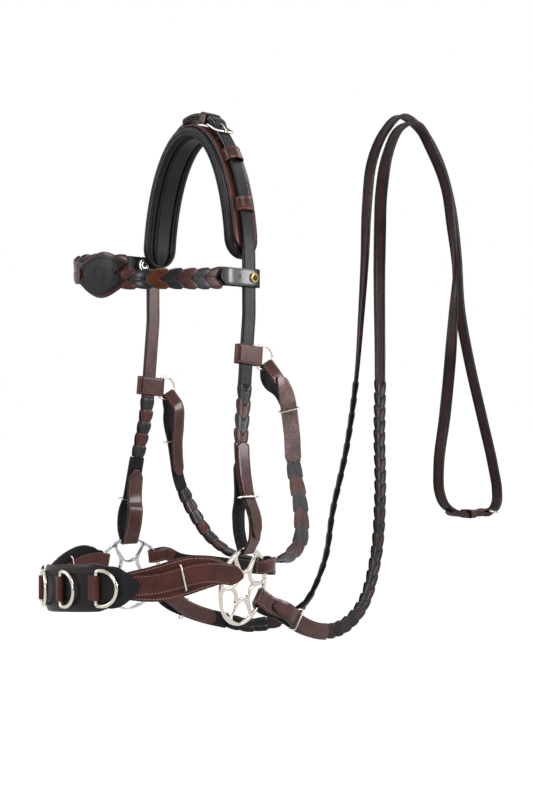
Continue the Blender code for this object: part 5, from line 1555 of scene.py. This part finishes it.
@dataclass
class Browband:
    """The browband: a shaped panel, two plaits, and the looped ends with their snap studs."""

    bones: Skeleton
    depth: float = 0.151
    squareness: float = 3.2
    level: float = -0.1715
    far_rise: float = 0.026
    centre_x: float = 0.007
    length: float = 0.0720
    tall: float = 0.0520
    ends: float = 0.0240
    tab_front: float = -0.0400
    tab_back: float = 0.0150
    tab_width: float = 0.0215
    far_shift: float = 0.0004
    line_inset: float = 0.0066
    ring_radius: float = 0.0098
    snap_width: float = 0.0196
    snap_thickness: float = 0.0020
    eyelets: Pair = (-0.0330, -0.0210)
    eyelet_radius: float = 0.0017
    play: dict[Side, float] = by_side(0.0005, 0.0008)
    stud: dict[Side, Stud] = by_side(BRASS_STUD, RINGED_STUD)

    def spot(self, angle: float) -> Vector:
        """A point of the band in plan, by its angle from the near side towards the front."""
        x, forward = bowed(angle, self.bones.leg_x, self.depth, self.squareness)
        return Vector((x, -forward, self.level + self.far_rise * max(0.0, -x / self.bones.leg_x) ** 2))

    def end_level(self, side: Side) -> float:
        """How high the band's end is."""
        return self.spot(0 if side is NEAR else 180).z

    def plaits(self, route: Route, middle: float) -> None:
        """Laces the two plaits, their points towards the panel."""
        half = self.length / 2 + GAP
        near_end = route.reaches(self.tab_front, 1) + GAP
        far_end = route.reaches(self.tab_front, 1, back=True) - GAP
        size = (7, 0.0255, 0.0066,
                (MAHOGANY, BLACK_PLAIT, RUSSET, BLACK_PLAIT, MAHOGANY, BLACK_PLAIT, MAHOGANY), "browband")
        Plait("brow", NEAR, route, near_end, middle - half, *size, broad_first=True, sag=-0.0082,
              slim=0.14).build()
        Plait("brow", FAR, route, middle + half, far_end, *size).build()

    def panel(self, route: Route, middle: float) -> None:
        """Builds up the panel: brown backing layers under a black face with notched ends."""
        lay = Lay.level(route, middle - self.length / 2 - 0.009, middle + self.length / 2 + 0.003, step=0.001)
        length = lay.length

        def half(u: float, grow: float) -> float:
            """The half width at a flat x of a layer that is smaller all round."""
            swell = max(0.0, math.cos(math.pi / 2 * (2 * u / length - 1))) ** 1.25
            return (self.ends + (self.tall - self.ends) * swell) / 2 - grow

        parts = []
        for height, grow, inset, finish in (
                (-0.0012, 0.0, 0.0, BROWN_BOTH), (0.0006, 0.0008, 0.001, BROWN_BOTH),
                (0.0022, 0.0030, 0.002, StrapFinish(PANEL_BLACK, BLACK, BLACK_EDGE))):
            columns = [inset + u * (length - 2 * inset) / length for u in spread(0, length, 0.002)]
            part = Strap("layer", lay, lambda u: half(u, grow), 0.0018, finish, cells=16,
                         stations=columns).cut()
            for v in part.data.vertices:
                share = min(1.0, abs(v.co.y) / half(v.co.x, grow))
                v.co.z += height + 0.0007 * (1 - share**2)
                if inset:
                    pull = (1 - share) * 0.0150 * smooth_step((abs(2 * v.co.x / length - 1) - 0.45) / 0.5)
                    v.co.x += -pull if v.co.x > length / 2 else pull
            parts.append(part)
        piece = joined("brow_panel", parts)
        lay.wrap(piece)
        settle(piece, "browband", ["brow_medallion"])
        run = spread(0.012, length - 0.012, 0.002)
        line = [Vector((u, sign * half(u, self.line_inset), 0.0034))
                for sign, us in ((1, run), (-1, run[::-1])) for u in us]
        ring = [Vector((length / 2 + x, y, 0.0037)) for x, y in circle(self.ring_radius, 48)]
        for name, points, gauge in (("line", line, 0.0007), ("ring", ring, 0.0005)):
            wire_piece(f"brow_panel_raised_{name}", points, gauge, (), "browband", BLACK,
                       lay)

    def tab(self, side: Side) -> None:
        """Loops the band's end round the cheek strap and back to its stud."""
        reach = self.bones.strap_width / 2 + LOOP_GAP
        hole = self.bones.strap_thickness / 2 + self.play[side]
        shift = self.far_shift if side is FAR else 0.0
        centre = Vector((side.value * (self.bones.leg_x - shift), 0.0, self.end_level(side)))
        outer, inner, back = hole + LAYER / 2, hole + 0.0008, self.tab_back
        spots = smooth_spots([
            (self.tab_front, 0.0012), (-reach - 0.006, 0.0012), (-reach - 0.002, outer), (0.0, outer),
            (back - 0.005, outer), (back - 0.0013, outer - 0.0018), (back - 0.0012, 0.0),
            (back - 0.0030, -inner + 0.0004), (reach - 0.004, -inner), (0.0, -inner),
            (-reach + 0.002, -inner), (-reach - 0.0035, -0.0013), (self.tab_front, -0.0013)], 6)
        thick = [LAYER if y > 0 else 0.0016 for _, y in spots]
        lay = Lay.round(centre, BACK, RIGHT * side.value, spots, closed=False, inward=True)
        Strap(f"brow_band_end_{side.label}", lay, self.tab_width / 2, LAYER, BLACK_BOTH, step=0.0012,
              thick=lambda u: float(np.interp(u, lay.reach, thick))).place(
                  f"brow_tab_{side.label}", body="browband", slot="black_leather")

    def snap(self, side: Side) -> None:
        """Sets the snap stud: a disc drawn up through its profile."""
        stud, leg, half = self.stud[side], self.bones.leg_x, self.bones.strap_thickness / 2
        face = -leg + self.far_shift + 0.0025 + GAP
        if side is NEAR:
            face = leg + half + self.play[side] + LAYER + GAP
        clear_selection()
        bpy.ops.mesh.primitive_circle_add(vertices=32, radius=stud.radius, fill_type="NGON",
                                          location=(0, 0, 0))
        obj = rename(bpy.context.object, f"brow_snap_stud_{side.label}")
        with editing(obj):
            for (share, rise), (wider, lower) in zip(stud.profile[1:], stud.profile):
                up = {"value": (0, 0, (rise - lower) * stud.height)}
                bpy.ops.mesh.extrude_region_move(TRANSFORM_OT_translate=up)
                bpy.ops.transform.resize(value=(share / wider, share / wider, 1.0),
                                         center_override=(0, 0, rise * stud.height))
        obj.data.transform(matrix_of(Vector((face, stud.place, self.end_level(side))), BACK, UP, RIGHT))
        dress(obj, stud.metal, stud.inlay)
        for polygon in obj.data.polygons:
            height = abs(polygon.center.x - face) / stud.height
            inlaid = stud.inlay_from < height < stud.inlay_to and abs(polygon.normal.x) > stud.least_flat
            polygon.material_index = int(inlaid)
        settle(obj, "browband", [f"brow_stud_{side.label}"], angle=30)

    def snap_tab(self) -> None:
        """Lays the near end's round-ended snap tab over the plait's end, with its two punched holes."""
        level = self.end_level(NEAR)
        face = self.bones.leg_x + self.bones.strap_thickness / 2 + self.play[NEAR] + LAYER
        line = smooth_line([Vector((face + rise, y, level)) for y, rise in (
            (-0.0480, 0.0006), (-0.0400, 0.0030), (-0.0180, 0.0014), (0.0060, 0.0012))], 8)
        # The tab's lighter grey finish is a painted sheen
        Strap("brow_snap_tab", Lay(line, [UP] * len(line), [RIGHT] * len(line)),
              self.snap_width / 2, self.snap_thickness,
              StrapFinish(BLACK_PAINTED_SHEEN_PLAIT, BLACK_FLESH, BLACK_EDGE), tips=(0.009, 0.008), point=0.30).sew(
                  0.007, 0.007, 0.0080, BLACK_THREAD).place(body="browband", slot="black_leather")
        for number, y in enumerate(self.eyelets):
            wire_piece(f"brow_snap_eyelet_{number}", in_plane(Vector((face + 0.0026, y, level)), BACK, UP,
                                                              circle(self.eyelet_radius, 16)),
                       0.0005, (), "browband", BLACK, sides=2)

    def build(self) -> None:
        """Makes all of it."""
        angles = (1, 5, 14, 27, 42, 58, 74, 90, 106, 122, 138, 153, 166, 175, 179)
        route = Route([(self.spot(angle), -UP) for angle in angles], per_span=5)
        middle = route.reaches(self.centre_x, 0)
        self.plaits(route, middle)
        self.panel(route, middle)
        for side in Side:
            self.tab(side)
            self.snap(side)
        self.snap_tab()


@dataclass
class Noseband:
    """The noseband: two folded wings with buckled billets, the padded front and its three D-rings."""

    bones: Skeleton
    half_width: float = 0.1120
    depth: float = 0.1600
    level: float = -0.5200
    reach: float = 0.0790
    wing_ends: Pair = (0.0180, 0.0280)
    wing_tall: float = 0.0420
    fold: float = 0.0093
    tongue_width: float = 0.0180
    billet_width: float = 0.0235
    buckle_share: float = 0.465
    wire: float = 0.0011
    fill: float = 0.7
    pad_thickness: float = 0.0110
    pad_ends: float = 0.0280
    pad_tall: float = 0.0520
    front: float = 0.30  # the share of the pad that lies before its strap
    dee_radius: float = 0.0190
    dee_straight: float = 0.0060
    dee_wire: float = 0.0021
    keeper_height: float = 0.0270
    keeper_wall: float = 0.0016
    ring_places: dict[str, float] = field(
        default_factory=lambda: {"near": 0.050, "centre": -0.002, "far": -0.050})

    def spot(self, angle: float) -> Vector:
        """A point of the band in plan, by its angle from the near side towards the front."""
        x, forward = bowed(angle, self.half_width, self.depth, 2.5)
        lift = 0.016 * max(0.0, (-x - 0.040) / (self.half_width - 0.040)) ** 2
        return Vector((x, -0.030 - forward, self.level + 0.10 * x + lift))

    def route(self, side: Side) -> Route:
        """From one wheel's slot round the nose to the other's."""
        front = [(self.spot(angle), -UP) for angle in (40, 56, 74, 90, 106, 124, 140)]
        ends = {end: self.bones.slot_stops(end, 64, 16, self.bones.wheel_toe[end] + 9) for end in Side}
        stops = ends[NEAR] + front + reversed_stops(ends[FAR])
        return Route(stops if side is NEAR else reversed_stops(stops))

    def wing(self, side: Side) -> None:
        """Folds one wing through its slot, with its billet and wire buckle."""
        route, label = self.route(side), side.label
        length = route.reaches(0.0, 0) - self.reach - GAP
        rest, face = LAYER / 2 + 2 * GAP, 0.0039 + LAYER / 2
        buckle = self.buckle_share * length
        narrow, broad = self.wing_ends

        def height(s: float) -> float:
            """How far the outer side lies from the route."""
            return face + (rest - face) * smooth_step((s - 0.018) / 0.034)

        def half(s: float) -> float:
            """The outer side's half width."""
            swell = math.sin(math.pi * min(1.0, max(0.0, s) / length)) ** 0.75
            ends = narrow + (broad - narrow) * max(0.0, s) / length
            return (ends + (self.wing_tall - ends) * swell) / 2

        down = [(s, height(s)) for s in spread(length, 0.0, 0.0020)]
        turn = [(1.0, 1.0), (0.45, 0.85), (0.12, 0.5), (0.0, 0.0), (0.12, -0.5), (0.45, -0.85), (1.0, -1.0)]
        up = [(s, -height(s)) for s in spread(0.0, buckle + 0.016, 0.0020)]
        path = down + [(-self.fold + x * face, y * face) for x, y in turn] + up
        lay = Lay.along(route, path, flip=True)
        outer, places = len(down), [s for s, _ in down]

        def width(u: float) -> float:
            """The half width by flat x: the wing's on the outer side, a narrow tongue on the inner."""
            if int(np.searchsorted(lay.reach, u)) < outer:
                return half(float(np.interp(u, lay.reach[:outer], places)))
            return self.tongue_width / 2 * min(1.0, 0.5 + (lay.length - u) / 0.010)

        wing = Strap(f"nose_wing_leather_{label}", lay, width, LAYER, BROWN_STRAP, step=0.0018, cells=10)
        wing.cut()
        wing.parts.append(edge_stitches(lambda u: width(u) - 0.0026, 0.004, length - 0.004, 1.0, LAYER / 2,
                                        PALE_THREAD, Face.GRAIN, 0.0030))
        wing.place(f"nose_wing_{label}")
        stack = LAYER + 2.6 * GAP
        path = [(s, height(s) + stack) for s in spread(length, -0.020, 0.0020)]
        Strap(f"nose_billet_leather_{label}", Lay.along(route, path, flip=True),
              self.billet_width / 2, LAYER, BROWN_STRAP,
              tips=(0.004, 0.018), point=0.10).sew(0.004, 0.016, 0.0096,
                                                   BROWN_THREAD).place(f"nose_billet_{label}")
        clear = LAYER / 2 + self.wire + GAP
        point, _, across, out = route.frame(buckle)
        reach = self.billet_width / 2 - 0.001 + BUCKLE_PLAY
        outline = rounded_box(-reach, -height(buckle) - clear, reach, height(buckle) + stack + clear,
                              BUCKLE_CORNER)
        wire_piece(f"nose_wire_buckle_{label}", in_plane(point, across, out, outline), self.wire,
                   [f"nose_buckle_{label}"])

    def pad(self) -> None:
        """Stuffs the padded front over the nose, its ends drawn to points over the wings."""
        route = self.route(NEAR)
        middle, deep = route.reaches(0.0, 0), self.pad_thickness
        lay = Lay.level(route, middle - self.reach, middle + self.reach)
        length = lay.length

        def left(u: float) -> float:
            """The share of the way from the nearer end to the middle."""
            return max(0.0, 1 - abs(2 * u / length - 1))

        def half(u: float) -> float:
            """The pad's half width."""
            return 0.5 * (self.pad_ends + (self.pad_tall - self.pad_ends) * min(1.0, left(u) * 2.6) ** 0.7)

        strap = Strap("nose_pad_leather", lay, half, deep, StrapFinish(NOSE_BLACK, SOFT_BLACK, NOSE_BLACK),
                      step=0.0025, cells=18)
        for v in strap.cut().data.vertices:
            share = min(1.0, abs(v.co.y) / half(v.co.x))
            full = 0.55 + 0.45 * min(1.0, left(v.co.x) * 4)
            if v.co.z > 0:
                v.co.z = deep * full * (self.front - 0.12 * smooth_step((share - 0.85) / 0.15))
            else:
                v.co.z = -deep * full * (0.66 - 0.62 * share**3.2)
        body = strap.place("nose_pad", slot="black_leather", angle=60)
        face = deep * self.front
        cover = Strap("nose_pad_front_leather", lay, lambda u: half(u) - 0.0065, 0.0016, BLACK_FACED,
                      cells=10, stations=spread(0.006, length - 0.006, 0.0025))
        for v in cover.cut().data.vertices:
            v.co.z += face + 0.0005
        cover.parts.append(edge_stitches(lambda u: half(u) - 0.0088, 0.008, length - 0.008, 1.0,
                                         face + 0.0013, BLACK_THREAD))
        cover.place(slot="black_leather")
        for label, along in self.ring_places.items():
            self.ring(route, middle - along, label)
        for side in Side:
            self.point(side)

    def point(self, side: Side) -> None:
        """Lays one pointed end of the front's black leather over the wing's end."""
        route = self.route(side)
        end = route.reaches(0.0, 0) - self.reach
        low, high = self.front * self.pad_thickness + 0.0020, 2 * LAYER + 5 * GAP + LAYER / 2 + 0.0008
        path = [(s, high + (low - high) * smooth_step((s - end + 0.003) / 0.010))
                for s in spread(end + 0.0175, end - 0.0165, 0.0015)]
        lay = Lay.along(route, path, flip=True)
        Strap(f"nose_pad_point_{side.label}", lay, tapered(0, lay.length, 0.0228, (0, 0.0330), 0.05), 0.0018,
              BLACK_BOTH, step=0.0015, tips=(0, 0.0300), cells=10).place(slot="black_leather")

    def ring(self, route: Route, place: float, label: str) -> None:
        """Hangs the D-ring of that name on the front by its keeper, at a distance along the route."""
        point, tangent, _, _ = route.frame(place)
        tangent = Vector((tangent.x, tangent.y, 0.0)).normalized()
        out = tangent.cross(-UP)
        wall = self.keeper_wall
        wrap = 0.0019 + LOOP_GAP + wall
        face = point + out * (self.front * self.pad_thickness + 0.0004)
        outline = [(0.0110, 0.0013), *arc((0.0, wrap), wrap - wall / 2, -70, -350, 20), (0.0105, 0.0028)]
        Strap(f"nose_keeper_loop_{label}", Lay.round(face, tangent, out, outline, closed=False),
              self.keeper_height / 2, wall, BROWN_BOTH, step=0.0008).place(f"nose_keeper_{label}")
        node = f"nose_ring_{label}"
        outline = d_outline(self.dee_radius, self.dee_straight, 0.003)
        wire_piece(f"nose_dee_{label}", in_plane(face + out * wrap, -tangent, UP, outline), self.dee_wire,
                   [node], node)

    def build(self) -> None:
        """Makes all of it."""
        for side in Side:
            self.wing(side)
        self.pad()


@dataclass
class CurbStrap:
    """The plain strap under the chin, folded round both wheels' rims."""

    bones: Skeleton
    width: float = 0.0160
    slot: Pair = (-63, -20)
    places: tuple[Triple, ...] = mm((88, 40, -508), (50, 58, -514), (0, 60, -516), (-50, 58, -516),
                                    (-88, 40, -514))

    def build(self) -> None:
        """Cuts and lays it."""
        back = [(Vector(place), UP) for place in self.places]
        route = Route(self.bones.slot_stops(NEAR, *self.slot) + back
                      + reversed_stops(self.bones.slot_stops(FAR, *self.slot)))
        rest = LAYER / 2 + GAP / 2
        turn = half_turn(-(self.bones.rim_seat(self.width, self.slot[1]) + GAP + LAYER / 2), FOLD_ROUNDING)
        fold = [(0.028, -rest), (0.020, -0.0024), (0.010, -0.0052), *reversed(turn), (0.010, 0.0052),
                (0.020, 0.0024)]
        run = [(s, rest) for s in spread(0.028, route.length - 0.028, 0.012)]
        lay = Lay.along(route,
                        smooth_spots(fold + run + [(route.length - s, h) for s, h in reversed(fold)], 5))
        Strap("curb_strap_leather", lay, self.width / 2, LAYER, BROWN_STRAP).sew(
            0.002, 0.002, self.width / 2 - 0.002, BROWN_THREAD).place("curb_strap")


@dataclass
class Reins:
    """Both reins: adjusters on the wheels, plaits, plain straps over the peg and the buckle between them."""

    bones: Skeleton
    fold_length: float = 0.128
    width: float = 0.0200
    plait_width: float = 0.0190
    plait_thickness: float = 0.0088
    buckle_level: float = -0.47
    buckle_back: float = 0.5530
    plait_end: dict[Side, float] = by_side(-0.2851, -0.2862)
    units: dict[Side, int] = by_side(23, 21)
    slot: dict[Side, Pair] = by_side((-117, -9), (-120, 0))
    twist: dict[Side, float] = by_side(0.0, 47.0)
    low: dict[Side, tuple[Triple, ...]] = by_side(
        mm((97, 48, -560), (95.5, 80, -580), (89, 125, -593.5), (81, 172, -590.5), (72, 212, -570),
           (62, 244, -523), (48, 270, -430), (33, 285, -360)),
        mm((104, 50, -574), (99, 85, -590), (92, 125, -602), (85, 160, -611), (78, 196, -610),
           (67, 236.7, -595), (52, 264.9, -538.4), (40, 272, -461.6), (28, 285.1, -381.4)))
    high: dict[Side, tuple[Triple, ...]] = by_side(
        mm((18, 303, -285.1), (13.5, 307.6, -95.9), (12.5, 312.7, -25.1), (12, 325.8, 23.9), (12, 350, 61),
           (12, 380, 72), (12, 420, 36), (12, 450, -11.9), (12, 460.1, -60), (12, 467.9, -120),
           (11, 466.8, -183.2), (10, 460.1, -259.2), (8, 451.2, -334.8), (4, 442.3, -408.5), (1, 448, -444)),
        mm((18, 294.3, -286.2), (13.5, 300, -195), (12.5, 305.8, -120), (12, 309.8, -45.8), (12, 320, 15),
           (12, 346, 60), (12, 380, 86), (12, 415, 76), (12, 456, 38), (12, 485, -20), (12, 501, -92.7),
           (12, 510.2, -180), (10, 530, -257.4), (7, 554.9, -335.8), (3, 578, -414.2), (1, 584, -448),
           (0, 581.5, -466)))
    turn: tuple[Pair, ...] = mm((574.5, -474.5), (566, -476), (556, -476), (546, -476), (525, -476),
                                (500, -475.5), (478, -472), (459, -461))

    def stops(self, side: Side) -> list[Stop]:
        """From the wheel's lower back slot up the plait, over the peg and down again."""
        away, start = RIGHT * side.value, self.twist[side]
        stops = self.bones.slot_stops(side, *self.slot[side], run=0.011)
        points = [Vector((side.value * x, y, z)) for x, y, z in self.low[side]]
        for i, point in enumerate(points):
            out = turned(start * smooth_step((i - 2) / 4), away, -BACK)
            tangent = points[min(i + 1, len(points) - 1)] - points[max(i - 1, 0)]
            stops.append((point, out.cross(tangent).normalized()))
        high = self.high[side]
        for i, (x, y, z) in enumerate(high):
            share = i / (len(high) - 1)
            turn = start + min(1.0, share / 0.22) * (90 - start)
            if side is NEAR:
                turn += 180 * smooth_step((share - 0.5) / 0.45)
            stops.append((Vector((side.value * x, y, z)), turned(turn, -BACK * side.value, -RIGHT)))
        return stops

    def build(self) -> None:
        """Makes all of it."""
        stops = {side: self.stops(side) for side in Side}
        routes = {side: Route(stops[side], per_span=5) for side in Side}
        turn = [(Vector((0.0, y, z)), -RIGHT) for y, z in self.turn]
        whole = Route(stops[FAR] + turn + reversed_stops(stops[NEAR]), per_span=5)
        tops = {side: route.reaches(self.plait_end[side], 2, rising=True) for side, route in routes.items()}
        for side, route in routes.items():
            Adjuster(f"rein_{side.label}", route, self.fold_length, self.width,
                     self.bones.rim_seat(self.width, self.slot[side][1])).build()
            Plait("rein", side, route, self.fold_length + GAP, tops[side] - GAP, self.units[side],
                  self.plait_width, self.plait_thickness, (REIN_BROWN, REIN_BLACK)).build()
        first = whole.reaches(self.plait_end[FAR], 2, rising=True)
        places = [(s, whole.place(whole.line, s))
                  for s in spread(0.5 * whole.length, 0.9 * whole.length, 0.0005)]
        heel = next(s for s, place in places if place.z < self.buckle_level and place.y < self.buckle_back)
        HeelBuckle("rein", ("rein_strap_far", "rein_strap_near"), whole, (first, whole.length - tops[NEAR]),
                   heel, 0.0165, 0.0036, 0.0013, (0.0250, 0.0180), 0.076, REIN_STRAP, "brown_leather",
                   BROWN_THREAD, edged=True).build(0.038, 0.012)


@dataclass
class Studio:
    """The camera, the pale floor and the soft light."""

    eye: Triple = (1.24017, -1.04545, -0.312)
    azimuth: float = 47.0
    lens: float = 60.66
    floor_level: float = -0.640
    aim: Triple = (0.0, 0.15, -0.3)
    lamps: tuple[tuple[str, Triple, float, float], ...] = (
        ("key", (1.7, -0.5, 1.3), 0.8, 26.0), ("fill", (-1.2, -1.7, 0.5), 0.7, 24.0),
        ("front", (0.95, -1.9, -0.05), 0.45, 13.0), ("back", (0.6, 2.2, 1.4), 0.8, 22.0),
        ("side", (2.1, 1.5, 0.2), 0.7, 29.0))

    @property
    def facing(self) -> Triple:
        """The camera's rotation: level, at the photograph's angle."""
        return (math.radians(90), 0, math.radians(self.azimuth))

    def camera(self) -> None:
        """Sets the camera."""
        bpy.ops.object.camera_add(location=self.eye, rotation=self.facing)
        camera = bpy.context.object
        camera.name = "view"
        camera.data.sensor_fit, camera.data.sensor_height = "VERTICAL", 36.0
        camera.data.lens, camera.data.clip_end = self.lens, 50.0
        bpy.context.scene.camera = camera

    def seen(self, tree: Tree) -> Node:
        """A node that is 1 for rays of the camera, of reflections and through glass, and 0 for others."""
        rays = add_node(tree, "LightPath").outputs
        both = add_node(tree, "Math", {"operation": "ADD"},
                        {0: rays["Is Camera Ray"], 1: rays["Is Glossy Ray"]})
        return add_node(tree, "Math", {"operation": "ADD", "use_clamp": True},
                        {0: both, 1: rays["Is Transmission Ray"]})

    def sheet(self, name: str, colour: str) -> tuple[bpy.types.Material, Tree, Node]:
        """A matt material of a colour, its tree and its shader."""
        made, tree, shader = blank_material(name)
        set_node(shader, {"Base Color": linear(colour), "Roughness": 0.9}, {})
        return made, tree, shader

    def floor(self) -> None:
        """Lays a plain white floor that shows white to the camera but keeps a faint shadow."""
        clear_selection()
        bpy.ops.mesh.primitive_plane_add(size=14.0, location=(-2.0, 2.0, self.floor_level))
        floor = bpy.context.object
        floor.name = "floor"
        made, tree, shader = self.sheet("white_paper_floor", "#f4f4f4")
        glow = add_node(tree, "Emission", {"Color": linear("#ffffff"), "Strength": 1.08})
        share = add_node(tree, "Math", {"operation": "MULTIPLY", 1: 0.90}, {0: self.seen(tree)})
        mix = add_node(tree, "MixShader", {}, {0: share, 1: shader, 2: glow})
        set_node(tree.nodes["Material Output"], {}, {"Surface": mix})
        floor.data.materials.append(made)

    def flag(self) -> None:
        """Hangs a dark card behind the camera, for the metal and the waxed leather to reflect."""
        clear_selection()
        back = Matrix.Rotation(math.radians(self.azimuth), 3, "Z") @ -BACK
        bpy.ops.mesh.primitive_plane_add(size=1.0, location=Vector(self.eye) + back * 0.5,
                                         rotation=self.facing)
        card = bpy.context.object
        card.name = "dark_card"
        card.scale = (4.5, 3.0, 1.0)
        bpy.ops.object.transform_apply(location=True, rotation=True, scale=True)
        made, tree, shader = self.sheet("dark_studio_card", "#1c1c1c")
        clear = add_node(tree, "BsdfTransparent")
        mix = add_node(tree, "MixShader", {},
                       {0: add_node(tree, "LightPath").outputs["Is Camera Ray"], 1: shader, 2: clear})
        set_node(tree.nodes["Material Output"], {}, {"Surface": mix})
        card.data.materials.append(made)

    def lights(self) -> None:
        """Hangs five soft lamps and an even white surround."""
        for name, place, size, power in self.lamps:
            bpy.ops.object.light_add(type="AREA", location=place)
            lamp = bpy.context.object
            lamp.name = f"softbox_{name}"
            lamp.data.size, lamp.data.energy = size, power
            lamp.rotation_euler = (Vector(self.aim) - Vector(place)).to_track_quat("-Z", "Y").to_euler()
        world = bpy.data.worlds.new("studio")
        bpy.context.scene.world = world
        world.use_nodes = True
        tree = world.node_tree
        level = add_node(tree, "MapRange", {"To Min": 0.55}, {"Value": self.seen(tree)})
        set_node(tree.nodes["Background"], {"Color": linear("#ffffff")}, {"Strength": level})

    def build(self) -> None:
        """Sets up all of it."""
        self.camera()
        self.floor()
        self.flag()
        self.lights()
        bpy.context.scene.view_settings.view_transform = "Standard"


def main() -> None:
    """Builds the bridle over the frame and the studio round it."""
    logging.basicConfig(level=logging.INFO, format="%(message)s")
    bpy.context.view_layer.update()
    bones = Skeleton()
    Studio().build()
    Headpiece(bones).build()
    for side in Side:
        Cheek(bones, side).build()
        WheelPiece(bones, side).build()
    JawStrap(bones).build()
    Browband(bones).build()
    Noseband(bones).build()
    CurbStrap(bones).build()
    Reins(bones).build()
    clear_selection()


if __name__ == "__main__":
    main()
